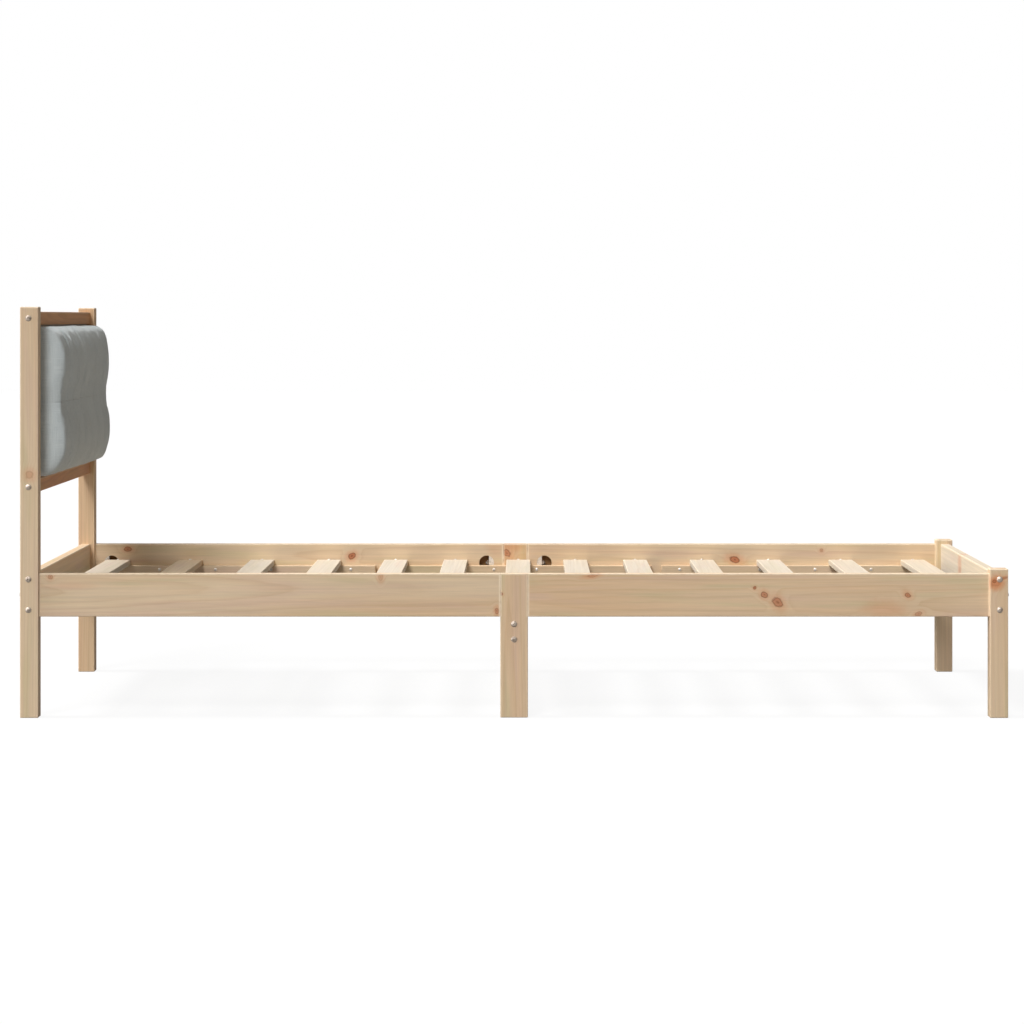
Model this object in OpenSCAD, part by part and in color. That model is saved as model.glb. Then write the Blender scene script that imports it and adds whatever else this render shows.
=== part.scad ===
// Single bed frame in solid pine with a padded headboard.
// The head end is at -X, the foot end at +X, and the floor is z = 0 under the middle of the frame.
// Left and right are those of a person who lies on the bed, so left is +Y.

/* [Frame] */
// Length over the posts
bed_length = 2055; // [1955:5:2155]
// Width over the posts
bed_width = 955; // [855:5:1255]
// Side of the square posts
post_size = 38; // [37:1:46]
// Height of the two head posts
head_post_h = 855; // [840:5:1000]
// How far the foot posts stand above the rails
foot_post_rise = 10; // [5:1:120]
// Radius of the eased long edges of every board
edge_r = 1.6; // [1:0.1:2.5]
// Chamfer round the ends of the posts and slats
end_chamfer = 1.2; // [0.6:0.1:2]

/* [Rails] */
// Height of the rails' top edge above the floor
rail_top = 300; // [270:5:330]
// Height of the side rails and end crossrails
rail_h = 90; // [84:1:100]
// Thickness of the rails, the mid legs and the headboard rails
rail_t = 20; // [18:1:22]
// How far the rails' outer faces lie behind the posts' outer faces
rail_setback = 7.5; // [5:0.5:9]

/* [Middle support] */
// Width of the flat middle legs
mid_leg_w = 57.5; // [50:0.5:75]
// Height of the beam that joins the middle legs
beam_h = 57; // [52:1:66]
// Thickness of that beam
beam_t = 20; // [18:1:24]
// Gap from the underside of the rails down to the top of the beam
beam_drop = 3; // [2:1:40]
// Height of the two beam bolts above and below the beam's middle
beam_bolt_rise = 16; // [13:0.5:18]

/* [Slats] */
// Width of a slat
slat_w = 56; // [45:1:66]
// Thickness of a slat
slat_t = 13; // [12:1:18]
// Gap from a slat's end to the rail
slat_end_gap = 2; // [1:0.5:4]
// Distance from the frame's end to the middle of the first or last slat
end_slat_inset = 93.5; // [88:0.5:105]
// Pitch of the slats next to the middle one
mid_pitch = 140.5; // [134:0.5:146]
// Pitch of the next two slats
quarter_pitch = 157; // [150:0.5:164]
// How far the middle slat is set towards the foot end
mid_slat_shift = 7; // [0:1:12]

/* [Cleats] */
// Height of the cleats that carry the slats
cleat_h = 20; // [18:1:24]
// Thickness of the cleats
cleat_t = 20; // [18:1:24]
// Depth of the cleats' top below the rails' top
cleat_drop = 50; // [46:1:54]
// Gap from the head post to the first cleat
cleat_head_gap = 21; // [15:1:30]
// Gap between the first and the middle cleat
cleat_gap_a = 8.5; // [4:0.5:15]
// Gap between the middle and the last cleat
cleat_gap_b = 23.5; // [15:0.5:30]
// Gap from the last cleat to the foot post
cleat_foot_gap = 6; // [4:0.5:12]

/* [Headboard] */
// Height of the two headboard rails
hb_rail_h = 28; // [26:1:36]
// Depth of the top rail below the post tops
hb_top_drop = 10; // [5:1:30]
// Height of the lower rail's underside above the floor
hb_lower_z = 466; // [430:2:500]
// Thickness of the panel behind the cushion
panel_t = 12; // [10:1:15]
// Gap from the panel to the rails and posts round it
panel_gap = 1.5; // [1:0.5:4]

/* [Cushion] */
// Depth of the cushion from the panel's back face to its fullest part, below the seam
cushion_depth = 72; // [60:1:100]
// How much less it stands out above the seam than below
upper_setback = 3; // [0:0.5:5]
// Gap from the cushion to the rails and posts round it
cushion_gap = 2; // [1:0.5:5]
// Sections side by side across the cushion
cushion_columns = 7; // [4:1:7]
// Depth of the seam that divides it at mid height
seam_depth = 7.5; // [3:0.5:12]
// Depth of the upright channels
channel_depth = 2; // [1.5:0.5:6]
// How far each section swells out between its channels
section_crown = 2; // [1:0.5:5]
// Rounding of the cushion's upright corners
cushion_corner = 14; // [10:1:24]
// How much shallower it is at its ends, apart from that rounding
end_taper = 6; // [2:1:10]

/* [Bolts and fittings] */
// Shank of the connecting bolts
bolt_d = 6; // [5:0.5:7]
// Head of the connecting bolts
bolt_head_d = 13; // [11:0.5:14]
// Height of a bolt's head
bolt_head_h = 3.4; // [2.5:0.1:4]
// How far a bolt goes into the rail's end
bolt_reach = 24; // [20:1:28]
// Distance of the upper crossrail bolt below the rails' top
upper_bolt_drop = 12; // [11:0.5:15]
// Distance of the lower crossrail bolt above the rails' underside
lower_bolt_rise = 14.5; // [11:0.5:18]
// Outside of the threaded inserts
insert_d = 10; // [9:0.5:11]
// Length of the threaded inserts
insert_l = 15; // [12:1:18]
// Diameter of the half-moon pockets in the side rails
pocket_d = 35; // [32:0.5:38]
// Distance of a pocket's middle from the rail's end
pocket_inset = 39; // [35:0.5:44]
// Thickness of a half-moon washer along the bolt
washer_t = 12; // [9:0.5:13]
// Width of the nuts across their flats
nut_af = 10; // [9:0.5:11]
// Height of the nuts
nut_h = 5; // [4:0.5:7]
// Diameter of the wooden dowels
dowel_d = 8; // [6:0.5:10]
// How far a dowel goes into the rail's end
dowel_reach = 20; // [15:1:25]
// How far a dowel goes into the post or the middle leg
dowel_hold = 11; // [8:1:12]
// Distance of the dowels above and below the side rail bolt
dowel_rise = 27; // [24:0.5:29]

/* [Screws and plates] */
// Shank of the screws in the slats and cleats
screw_d = 4; // [3.5:0.1:4.5]
// Head of those screws
screw_head_d = 8; // [7:0.5:9]
// Height of their heads
screw_head_h = 2.6; // [2:0.1:3]
// How far a slat screw goes into the cleat
slat_screw_reach = 16; // [12:1:17]
// How far a cleat screw goes into the rail
cleat_screw_reach = 14; // [10:1:15]
// Length of the joining plates behind the headboard
plate_l = 50; // [46:1:52]
// Width of those plates
plate_w = 16; // [14:1:20]
// Thickness of those plates
plate_t = 2; // [1.5:0.1:3]
// Shank of the plate screws
plate_screw_d = 3.5; // [3:0.1:4]
// How far a plate screw goes into the wood
plate_screw_reach = 8; // [6:0.5:9]
// Distance of a plate from the post
plate_inset = 170; // [120:5:250]

/* [Hidden] */
$fn = 48;
slat_count = 13;
fit = 0.1;               // radial gap round pins, screws and inserts in their holes
bolt_play = 0.5;         // radial gap round a bolt's shank in the wood
bore_spare = 2;          // how much deeper a hole is than what goes in
over = 1;                // how far a cut runs past a face
nut_room = 0.3;          // gap from a nut's corners to the floor of its pocket
socket_af = 4;           // hexagon socket in a bolt's head
socket_depth = 2;

half_l = bed_length / 2;
half_w = bed_width / 2;
foot_post_h = rail_top + foot_post_rise;
rail_bottom = rail_top - rail_h;
rail_out_y = half_w - rail_setback;              // outer face of a side rail
rail_in_y = rail_out_y - rail_t;                 // inner face of a side rail
rail_mid_y = rail_out_y - rail_t / 2;
end_rail_x = half_l - rail_setback - rail_t / 2; // middle plane of an end crossrail
post_in_x = half_l - post_size;                  // inner face of a post
post_in_y = half_w - post_size;
side_rail_l = post_in_x - mid_leg_w / 2;
crossrail_l = 2 * post_in_y;
side_bolt_z = rail_top - rail_h / 2;
crossrail_bolt_z = [rail_top - upper_bolt_drop, rail_bottom + lower_bolt_rise];
nut_corner_d = nut_af / cos(30);
pocket_depth = rail_t / 2 + nut_corner_d / 2 + nut_room;
dowel_z = [side_bolt_z - dowel_rise, side_bolt_z + dowel_rise];

beam_z = rail_bottom - beam_drop - beam_h / 2;
beam_bolt_z = [beam_z - beam_bolt_rise, beam_z + beam_bolt_rise];

cleat_top = rail_top - cleat_drop;
cleat_mid_y = rail_in_y - cleat_t / 2;
cleat_l = (2 * post_in_x - cleat_head_gap - cleat_gap_a - cleat_gap_b - cleat_foot_gap) / 3;
cleat_start = [
    -post_in_x + cleat_head_gap,
    -post_in_x + cleat_head_gap + cleat_l + cleat_gap_a,
    post_in_x - cleat_foot_gap - cleat_l
];
cleat_screw_z = cleat_top - cleat_h * 0.45;
// Share of the way from each slat to the next one, outwards, at which a cleat has a screw
cleat_screw_share = [0.356, 0.86, 0.669, 0.866, 0.643, 0.416];
cleat_screw_margin = 25; // least distance of a screw from an outer cleat's inner end

slat_l = 2 * (rail_in_y - slat_end_gap);
end_slat_x = half_l - end_slat_inset;
end_pitch = (end_slat_x - 2 * mid_pitch - 2 * quarter_pitch) / 2;
slat_screw_y = cleat_mid_y;
slat_screw_l = slat_t + slat_screw_reach;

hb_x = -end_rail_x;                              // middle plane of the headboard rails
hb_back_x = hb_x - rail_t / 2;
hb_top_z = head_post_h - hb_top_drop - hb_rail_h;
hb_bolt_z = [hb_lower_z + hb_rail_h / 2, hb_top_z + hb_rail_h / 2];
field_low = hb_lower_z + hb_rail_h;              // the space between the headboard rails
field_high = hb_top_z;
cushion_low = field_low + cushion_gap;
cushion_high = field_high - cushion_gap;
cushion_half_w = post_in_y - cushion_gap;
cushion_back_x = hb_back_x + panel_t;

wood = [0.83, 0.70, 0.53];
wood_light = [0.90, 0.80, 0.64];
wood_warm = [0.78, 0.62, 0.44];
ply = [0.80, 0.69, 0.52];
fabric = [0.62, 0.64, 0.63];
steel = [0.72, 0.72, 0.73];
zinc = [0.62, 0.62, 0.60];
beech = [0.86, 0.72, 0.55];

// Placing

// Both long sides of the bed: children are drawn at the right side, -Y
module both_sides() {
    children();
    mirror([0, 1, 0]) children();
}

// Both ends of the bed: children are drawn at the foot end, +X
module both_ends() {
    children();
    mirror([1, 0, 0]) children();
}

// The left side's piece from the right side's
module on_left() mirror([0, 1, 0]) children();

// The head end's piece from the foot end's
module on_head() mirror([1, 0, 0]) children();

// Turns a piece that is drawn down the Z axis so that it points up
module upwards() mirror([0, 0, 1]) children();

// Turns a piece that is drawn up the Z axis so that its top points along +X, -X, +Y or -Y
module to_x() rotate([0, 90, 0]) children();
module to_minus_x() rotate([0, -90, 0]) children();
module to_y() rotate([-90, 0, 0]) children();
module to_minus_y() rotate([90, 0, 0]) children();

// Boards

// Rectangle with round corners, centred
module eased_rect(w, d, r) {
    square([w - 2 * r, d], center = true);
    square([w, d - 2 * r], center = true);
    for (sx = [-1, 1], sy = [-1, 1])
        translate([sx * (w / 2 - r), sy * (d / 2 - r)]) circle(r);
}

// Outline of a board of length l seen from the side, with chamfered ends
module chamfered_outline(w, l, c)
    polygon([
        [-w / 2, c], [-w / 2 + c, 0], [w / 2 - c, 0], [w / 2, c],
        [w / 2, l - c], [w / 2 - c, l], [-w / 2 + c, l], [-w / 2, l - c]
    ]);

// Board of length l up the Z axis, w by d in section, with eased edges and ends
module board(w, d, l, c = end_chamfer)
    intersection() {
        linear_extrude(l) eased_rect(w, d, edge_r);
        translate([0, d, 0]) rotate([90, 0, 0]) linear_extrude(2 * d) chamfered_outline(w, l, c);
        translate([-w, 0, 0]) rotate([90, 0, 90]) linear_extrude(2 * w) chamfered_outline(d, l, c);
    }

// Board whose ends butt against other boards, so only its long edges are eased
module butted_board(w, d, l) linear_extrude(l) eased_rect(w, d, edge_r);

// Fasteners, each drawn with its head's underside at z = 0 and its shank downwards

// Low dome of diameter d and height h
module dome(d, h) {
    r = (d * d / 4 + h * h) / (2 * h);
    intersection() {
        cylinder(d = d, h = h);
        translate([0, 0, h - r]) sphere(r, $fn = 96);
    }
}

module bolt(l)
    difference() {
        union() {
            dome(bolt_head_d, bolt_head_h);
            translate([0, 0, over - l]) cylinder(d = bolt_d, h = l - over);
            translate([0, 0, -l]) cylinder(d1 = bolt_d - 2 * over, d2 = bolt_d, h = over);
        }
        translate([0, 0, bolt_head_h - socket_depth])
            cylinder(d = socket_af / cos(30), h = bolt_head_h, $fn = 6);
    }

module screw(l, d, head_d, head_h) {
    dome(head_d, head_h);
    translate([0, 0, d - l]) cylinder(d = d, h = l - d);
    translate([0, 0, -l]) cylinder(d1 = d / 5, d2 = d, h = d);
}

// Threaded insert, sunk downwards from z = 0
module insert()
    difference() {
        translate([0, 0, -insert_l]) cylinder(d = insert_d, h = insert_l);
        translate([0, 0, -insert_l - over]) cylinder(d = bolt_d + 2 * fit, h = insert_l + 2 * over);
    }

// Hole for an insert and the bolt in it, cut downwards from z = 0
module insert_hole() {
    translate([0, 0, -insert_l]) cylinder(d = insert_d + 2 * fit, h = insert_l + over);
    translate([0, 0, -bolt_reach - bore_spare])
        cylinder(d = bolt_d + 2 * bolt_play, h = bolt_reach + bore_spare + over);
}

// Clearance hole for a bolt, cut downwards from z = 0 through a thickness of t
module bolt_hole(t)
    translate([0, 0, -t - over]) cylinder(d = bolt_d + 2 * bolt_play, h = t + 2 * over);

// Blind hole for a screw or dowel, cut downwards from z = 0
module pin_hole(d, depth)
    translate([0, 0, -depth]) cylinder(d = d + 2 * fit, h = depth + over);

// Places of the fasteners on the right side and at the foot end

module at_crossrail_bolts(y)
    for (z = crossrail_bolt_z) translate([end_rail_x, y, z]) to_minus_y() children();

module at_headboard_bolts(y)
    for (z = hb_bolt_z) translate([hb_x, y, z]) to_minus_y() children();

module at_beam_bolts(y)
    for (z = beam_bolt_z) translate([0, y, z]) to_minus_y() children();

module at_side_bolt(x) translate([x, -rail_mid_y, side_bolt_z]) to_x() children();

module at_dowels(x)
    for (z = dowel_z) translate([x, -rail_mid_y, z]) to_x() children();

// Places of the slats, numbered from the head end
function slat_offset(n) =
    n <= 2 ? n * mid_pitch
    : n <= 4 ? 2 * mid_pitch + (n - 2) * quarter_pitch
    : 2 * mid_pitch + 2 * quarter_pitch + (n - 4) * end_pitch;
function slat_x(i) =
    let (n = i - (slat_count + 1) / 2)
    n == 0 ? mid_slat_shift : sign(n) * slat_offset(abs(n));

// Places of the screws in one cleat: the middle one has two each way, the outer ones have four
function cleat_screw_offset(n) =
    slat_offset(n) + cleat_screw_share[n] * (slat_offset(n + 1) - slat_offset(n));
function outer_cleat_start(i) = i == 0 ? -cleat_start[0] - cleat_l : cleat_start[i];
function cleat_screw_x(i) =
    i == 1 ? [for (s = [-1, 1], n = [0, 1]) s * cleat_screw_offset(n)]
    : [for (n = [2 : 5])
        (i - 1) * max(cleat_screw_offset(n), outer_cleat_start(i) + cleat_screw_margin)];

module at_cleat_screws(i, y)
    for (x = cleat_screw_x(i)) translate([x, -y, cleat_screw_z]) to_y() children();

// Posts and legs

// Bores of one post on the right side at the foot end
module post_bores() {
    at_crossrail_bolts(-half_w) bolt_hole(post_size);
    at_side_bolt(half_l) bolt_hole(post_size);
    at_dowels(post_in_x) upwards() pin_hole(dowel_d, dowel_hold);
}

module post(h)
    translate([half_l - post_size / 2, -half_w + post_size / 2, 0]) board(post_size, post_size, h);

module foot_post_right()
    color(wood) difference() {
        post(foot_post_h);
        post_bores();
    }

module head_post_right()
    color(wood) difference() {
        on_head() difference() {
            post(head_post_h);
            post_bores();
        }
        at_headboard_bolts(-half_w) bolt_hole(post_size);
    }

module foot_post_left() on_left() foot_post_right();
module head_post_left() on_left() head_post_right();

module mid_leg_right()
    color(wood_light) difference() {
        translate([0, -rail_mid_y, 0]) board(mid_leg_w, rail_t, rail_top);
        at_side_bolt(mid_leg_w / 2) bolt_hole(mid_leg_w);
        both_ends() at_dowels(mid_leg_w / 2) pin_hole(dowel_d, dowel_hold);
        at_beam_bolts(-rail_out_y) bolt_hole(rail_t);
    }

module mid_leg_left() on_left() mid_leg_right();

// Rails

// Pocket for a half-moon washer and nut, opening on the inner face of the right side rail
module pocket(x)
    translate([x, -rail_in_y - pocket_depth, side_bolt_z])
        to_y() cylinder(d = pocket_d, h = pocket_depth + over);

// The half of the right side rail at the foot end, without the post's end fitting
module side_rail_blank()
    translate([mid_leg_w / 2, -rail_mid_y, rail_top - rail_h / 2])
        to_x() butted_board(rail_h, rail_t, side_rail_l);

// Cuts that both halves share: the pocket, bolt and dowels beside the middle leg
module mid_joint_cuts() {
    pocket(mid_leg_w / 2 + pocket_inset);
    at_side_bolt(mid_leg_w / 2 + pocket_inset) bolt_hole(pocket_inset);
    at_dowels(mid_leg_w / 2) upwards() pin_hole(dowel_d, dowel_reach);
    at_dowels(post_in_x) pin_hole(dowel_d, dowel_reach);
}

module cleat_screw_holes(cleats)
    for (i = cleats) at_cleat_screws(i, rail_in_y) pin_hole(screw_d, cleat_screw_reach + bore_spare);

module side_rail_foot_right()
    color(wood) difference() {
        side_rail_blank();
        mid_joint_cuts();
        at_side_bolt(post_in_x) insert_hole();
        cleat_screw_holes([1, 2]);
    }

module side_rail_head_right()
    color(wood) difference() {
        on_head() difference() {
            side_rail_blank();
            mid_joint_cuts();
            pocket(post_in_x - pocket_inset);
            at_side_bolt(post_in_x) bolt_hole(pocket_inset);
        }
        cleat_screw_holes([0, 1]);
    }

module side_rail_foot_left() on_left() side_rail_foot_right();
module side_rail_head_left() on_left() side_rail_head_right();

module foot_crossrail()
    color(wood_light) difference() {
        translate([end_rail_x, -crossrail_l / 2, rail_top - rail_h / 2])
            to_y() butted_board(rail_t, rail_h, crossrail_l);
        both_sides() at_crossrail_bolts(-post_in_y) insert_hole();
    }

module head_crossrail() on_head() foot_crossrail();

module mid_crossbeam()
    color(wood) difference() {
        translate([0, -rail_in_y, beam_z]) to_y() butted_board(beam_t, beam_h, 2 * rail_in_y);
        both_sides() at_beam_bolts(-rail_in_y) insert_hole();
    }

// Headboard

module headboard_rail(z)
    color(wood_warm) difference() {
        translate([hb_x, -crossrail_l / 2, z + hb_rail_h / 2])
            to_y() butted_board(rail_t, hb_rail_h, crossrail_l);
        both_sides() at_headboard_bolts(-post_in_y) insert_hole();
        at_plate_screws() pin_hole(plate_screw_d, plate_screw_reach + bore_spare);
    }

module headboard_top_rail() headboard_rail(hb_top_z);
module headboard_lower_rail() headboard_rail(hb_lower_z);

module headboard_panel()
    color(ply) difference() {
        translate([hb_back_x, -post_in_y + panel_gap, field_low + panel_gap])
            cube([panel_t, 2 * (post_in_y - panel_gap), field_high - field_low - 2 * panel_gap]);
        at_plate_screws() pin_hole(plate_screw_d, plate_screw_reach + fit);
    }

// Plates across the joints between the panel and the headboard rails, on the back
plate_hole_near = plate_l / 5;
plate_hole_far = plate_l * 0.38;

module at_plates()
    for (y = [-1, 1], z = [field_low, field_high])
        translate([hb_back_x, y * (post_in_y - plate_inset), z]) to_minus_x() children();

module at_plate_screws(lift = 0)
    at_plates()
        for (s = [-plate_hole_far, -plate_hole_near, plate_hole_near, plate_hole_far])
            translate([s, 0, lift]) children();

module headboard_plates()
    color(zinc) at_plates()
        difference() {
            linear_extrude(plate_t) {
                square([plate_l - plate_w, plate_w], center = true);
                for (s = [-1, 1]) translate([s * (plate_l - plate_w) / 2, 0]) circle(d = plate_w);
            }
            for (s = [-plate_hole_far, -plate_hole_near, plate_hole_near, plate_hole_far])
                translate([s, 0, -over]) cylinder(d = plate_screw_d + 2 * fit, h = plate_t + 2 * over);
        }

module plate_screws()
    color(zinc) at_plate_screws(plate_t)
        screw(plate_t + plate_screw_reach, plate_screw_d, 2 * plate_screw_d, 0.6 * plate_screw_d);

// Cushion

cushion_top_round = [40, 72];    // how far the top edge's rounding goes back and down
cushion_bottom_round = [42, 75]; // how far the bottom edge's rounding goes back and up
least_back_depth = 6;            // depth that the roundings leave at the cushion's back edge
end_taper_reach = 62;            // length over which the ends get shallower
seam_width = 45;                 // reach of the broad hollow along the seam
channel_width = 13;              // reach of a channel
arc_steps = 7;                   // points on the rounding at the top and bottom edge
front_steps = 9;                 // points between them, closest at the seam
top_sag = 3;                     // how far the cushion's top and bottom draw in at the back

cushion_x = cushion_depth - panel_t;             // depth in front of the panel
cushion_mid_z = (cushion_low + cushion_high) / 2;
column_w = 2 * cushion_half_w / cushion_columns;

// Depth that a quarter ellipse takes off at distance d from its start
function rounding(d, depth, reach) =
    d >= reach ? 0 : depth * (1 - sqrt(1 - pow(1 - d / reach, 2)));

// Depth that is lost at distance d from an upright end
function end_loss(d) =
    rounding(d, cushion_corner, cushion_corner) + rounding(d, end_taper, end_taper_reach);

// Distance from the nearest channel, which lies between two sections
function channel_distance(y) =
    min([for (k = [1 : cushion_columns - 1]) abs(y + cushion_half_w - k * column_w)]);

// Hollow of the seam at height z, with the upper half's setback
function seam_hollow(z) =
    seam_depth * exp(-pow((z - cushion_mid_z) / seam_width, 2))
    + upper_setback * (z - cushion_low) / (cushion_high - cushion_low);

// Hollow of the channels and of the crowned sections between them at place y
function channel_hollow(y) =
    let (d = min(channel_distance(y), column_w / 2))
    channel_depth * exp(-pow(d / channel_width, 2)) + section_crown * pow(1 - 2 * d / column_w, 3);

// Places across the cushion at which it has a section
end_places = concat(
    [for (a = [0, 30, 60, 90]) cushion_corner * (1 - cos(a))],
    [for (share = [0.25, 0.55]) cushion_corner + share * (column_w / 2 - cushion_corner)]
);
cushion_places = concat(
    [for (d = end_places) d - cushion_half_w],
    [for (k = [1 : cushion_columns - 1]) each
        [for (s = [-0.5, -0.28, -0.1, 0, 0.1, 0.28]) (k + s) * column_w - cushion_half_w]],
    [cushion_half_w - 0.5 * column_w],
    [for (i = [len(end_places) - 1 : -1 : 0]) cushion_half_w - end_places[i]]
);

// Outline of the cushion at place y, from its lower back edge forwards, up and back again
function cushion_section(y) =
    let (
        loss = end_loss(cushion_half_w - abs(y)),
        trim = loss / 5,
        low = cushion_low + trim,
        high = cushion_high - trim,
        depth = cushion_x - loss,
        groove = channel_hollow(y),
        arc_low = [min(cushion_bottom_round[0], depth - least_back_depth), cushion_bottom_round[1]],
        arc_high = [min(cushion_top_round[0], depth - least_back_depth), cushion_top_round[1]],
        z_a = low + arc_low[1],
        z_b = high - arc_high[1]
    )
    concat(
        [[0, low + top_sag]],
        [for (i = [0 : arc_steps - 1])
            let (a = 90 * i / arc_steps)
            [depth - arc_low[0] * (1 - sin(a)) - groove * sin(a) - seam_hollow(z_a) * sin(a),
             low + arc_low[1] * (1 - cos(a))]],
        [for (i = [0 : front_steps - 1])
            let (
                t = 2 * i / (front_steps - 1) - 1,
                z = (z_a + z_b) / 2 + (z_b - z_a) / 2 * t * (0.5 + 0.5 * abs(t))
            )
            [depth - groove - seam_hollow(z), z]],
        [for (i = [arc_steps - 1 : -1 : 0])
            let (a = 90 * i / arc_steps)
            [depth - arc_high[0] * (1 - sin(a)) - groove * sin(a) - seam_hollow(z_b) * sin(a),
             high - arc_high[1] * (1 - cos(a))]],
        [[0, high - top_sag]]
    );

module headboard_cushion() {
    sections = [for (y = cushion_places) cushion_section(y)];
    rings = len(sections);
    ring = len(sections[0]);
    points = [for (j = [0 : rings - 1], p = sections[j])
        [cushion_back_x + p[0], cushion_places[j], p[1]]];
    sides = [for (j = [0 : rings - 2], i = [0 : ring - 1])
        let (k = (i + 1) % ring, a = j * ring + i, b = j * ring + k)
        each [[a, b, b + ring], [a, b + ring, a + ring]]];
    first = [for (i = [1 : ring - 2]) [0, i + 1, i]];
    last_start = (rings - 1) * ring;
    last = [for (i = [1 : ring - 2]) [last_start, last_start + i, last_start + i + 1]];
    color(fabric) polyhedron(points, concat(sides, first, last));
}

// Cleats and slats

module cleat_right(i)
    color(wood) difference() {
        translate([cleat_start[i], -cleat_mid_y, cleat_top - cleat_h / 2])
            to_x() board(cleat_h, cleat_t, cleat_l);
        at_cleat_screws(i, rail_in_y - cleat_t) pin_hole(screw_d, cleat_t + over);
        for (n = [1 : slat_count])
            if (abs(slat_x(n) - cleat_start[i] - cleat_l / 2) < cleat_l / 2)
                translate([slat_x(n), -slat_screw_y, cleat_top])
                    pin_hole(screw_d, slat_screw_reach + bore_spare);
    }

module slat(i)
    color(wood_light) difference() {
        translate([slat_x(i), -slat_l / 2, cleat_top + slat_t / 2]) to_y() board(slat_w, slat_t, slat_l);
        both_sides() translate([slat_x(i), -slat_screw_y, cleat_top + slat_t])
            pin_hole(screw_d, slat_t + over);
    }

// Bolts, inserts and screws

bolt_through_post = post_size + bolt_reach;

module crossrail_bolts()
    color(steel) both_ends() both_sides() at_crossrail_bolts(-half_w) bolt(bolt_through_post);

module headboard_bolts()
    color(steel) both_sides() at_headboard_bolts(-half_w) bolt(bolt_through_post);

module crossbeam_bolts()
    color(steel) both_sides() at_beam_bolts(-rail_out_y) bolt(rail_t + bolt_reach);

// The bolts at the head end reach the nuts in the pockets
pocket_bolt_l = post_size + pocket_inset + nut_h / 2;

module side_rail_bolts()
    color(steel) both_sides() {
        at_side_bolt(half_l) bolt(bolt_through_post);
        on_head() at_side_bolt(half_l) bolt(pocket_bolt_l);
    }

module crossrail_inserts()
    color(zinc) both_ends() both_sides() at_crossrail_bolts(-post_in_y) insert();

module headboard_inserts()
    color(zinc) both_sides() at_headboard_bolts(-post_in_y) insert();

module crossbeam_inserts()
    color(zinc) both_sides() at_beam_bolts(-rail_in_y) insert();

module side_rail_inserts()
    color(zinc) both_sides() at_side_bolt(post_in_x) insert();

// Threaded rod through the middle leg, with chamfered ends
stud_half = mid_leg_w / 2 + pocket_inset + nut_h / 2;

module stud_half_rod() {
    cylinder(d = bolt_d, h = stud_half - over);
    translate([0, 0, stud_half - over]) cylinder(d1 = bolt_d, d2 = bolt_d - 2 * over, h = over);
}

module mid_leg_studs()
    color(zinc) both_sides() translate([0, -rail_mid_y, side_bolt_z])
        both_ends() to_x() stud_half_rod();

// Washer with a round back that seats on the pocket's wall, and a flat front for the nut
washer_front = pocket_inset - pocket_d / 2 + fit + washer_t; // from the rail's end

module half_moon_washer(toward)
    difference() {
        intersection() {
            translate([0, -rail_in_y - pocket_depth + fit, 0])
                to_y() cylinder(d = pocket_d - 2 * fit, h = pocket_depth - 2 * fit);
            translate([toward > 0 ? pocket_d / 2 - washer_t : -pocket_d / 2, -half_w, -pocket_d / 2])
                cube([washer_t, half_w, pocket_d]);
        }
        translate([-pocket_d, -rail_mid_y, 0]) to_x() cylinder(d = bolt_d + 2 * fit, h = 2 * pocket_d);
    }

module half_moon_washers()
    color(steel) both_sides() {
        both_ends() translate([mid_leg_w / 2 + pocket_inset, 0, side_bolt_z]) half_moon_washer(-1);
        on_head() translate([post_in_x - pocket_inset, 0, side_bolt_z]) half_moon_washer(1);
    }

// Nut of height nut_h that stands on z = 0
module nut()
    difference() {
        cylinder(d = nut_corner_d, h = nut_h, $fn = 6);
        translate([0, 0, -over]) cylinder(d = bolt_d + 2 * fit, h = nut_h + 2 * over);
    }

module side_rail_nuts()
    color(steel) both_sides() {
        both_ends() translate([mid_leg_w / 2 + washer_front, -rail_mid_y, side_bolt_z]) to_x() nut();
        on_head() translate([post_in_x - washer_front, -rail_mid_y, side_bolt_z]) to_minus_x() nut();
    }

// Dowel that reaches into the rail below z = 0 and into the post or leg above it
module dowel() {
    c = dowel_d / 8;
    rotate_extrude() polygon([
        [0, -dowel_reach + fit], [dowel_d / 2 - c, -dowel_reach + fit],
        [dowel_d / 2, -dowel_reach + fit + c], [dowel_d / 2, dowel_hold - fit - c],
        [dowel_d / 2 - c, dowel_hold - fit], [0, dowel_hold - fit]
    ]);
}

module rail_dowels()
    color(beech) both_sides() both_ends() {
        at_dowels(post_in_x) dowel();
        at_dowels(mid_leg_w / 2) upwards() dowel();
    }

module slat_screws()
    color(steel) for (i = [1 : slat_count]) both_sides()
        translate([slat_x(i), -slat_screw_y, cleat_top + slat_t])
            screw(slat_screw_l, screw_d, screw_head_d, screw_head_h);

module cleat_screws()
    color(steel) both_sides() for (i = [0 : 2])
        at_cleat_screws(i, rail_in_y - cleat_t)
            screw(cleat_t + cleat_screw_reach, screw_d, screw_head_d, screw_head_h);

head_post_left();
head_post_right();
foot_post_left();
foot_post_right();
mid_leg_left();
mid_leg_right();
side_rail_head_left();
side_rail_head_right();
side_rail_foot_left();
side_rail_foot_right();
head_crossrail();
foot_crossrail();
mid_crossbeam();
headboard_top_rail();
headboard_lower_rail();
headboard_panel();
headboard_cushion();
on_left() cleat_right(0);  // cleat_head_left
on_left() cleat_right(1);  // cleat_mid_left
on_left() cleat_right(2);  // cleat_foot_left
cleat_right(0);  // cleat_head_right
cleat_right(1);  // cleat_mid_right
cleat_right(2);  // cleat_foot_right
slat(1);  // slat_01
slat(2);  // slat_02
slat(3);  // slat_03
slat(4);  // slat_04
slat(5);  // slat_05
slat(6);  // slat_06
slat(7);  // slat_07
slat(8);  // slat_08
slat(9);  // slat_09
slat(10);  // slat_10
slat(11);  // slat_11
slat(12);  // slat_12
slat(13);  // slat_13
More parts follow.
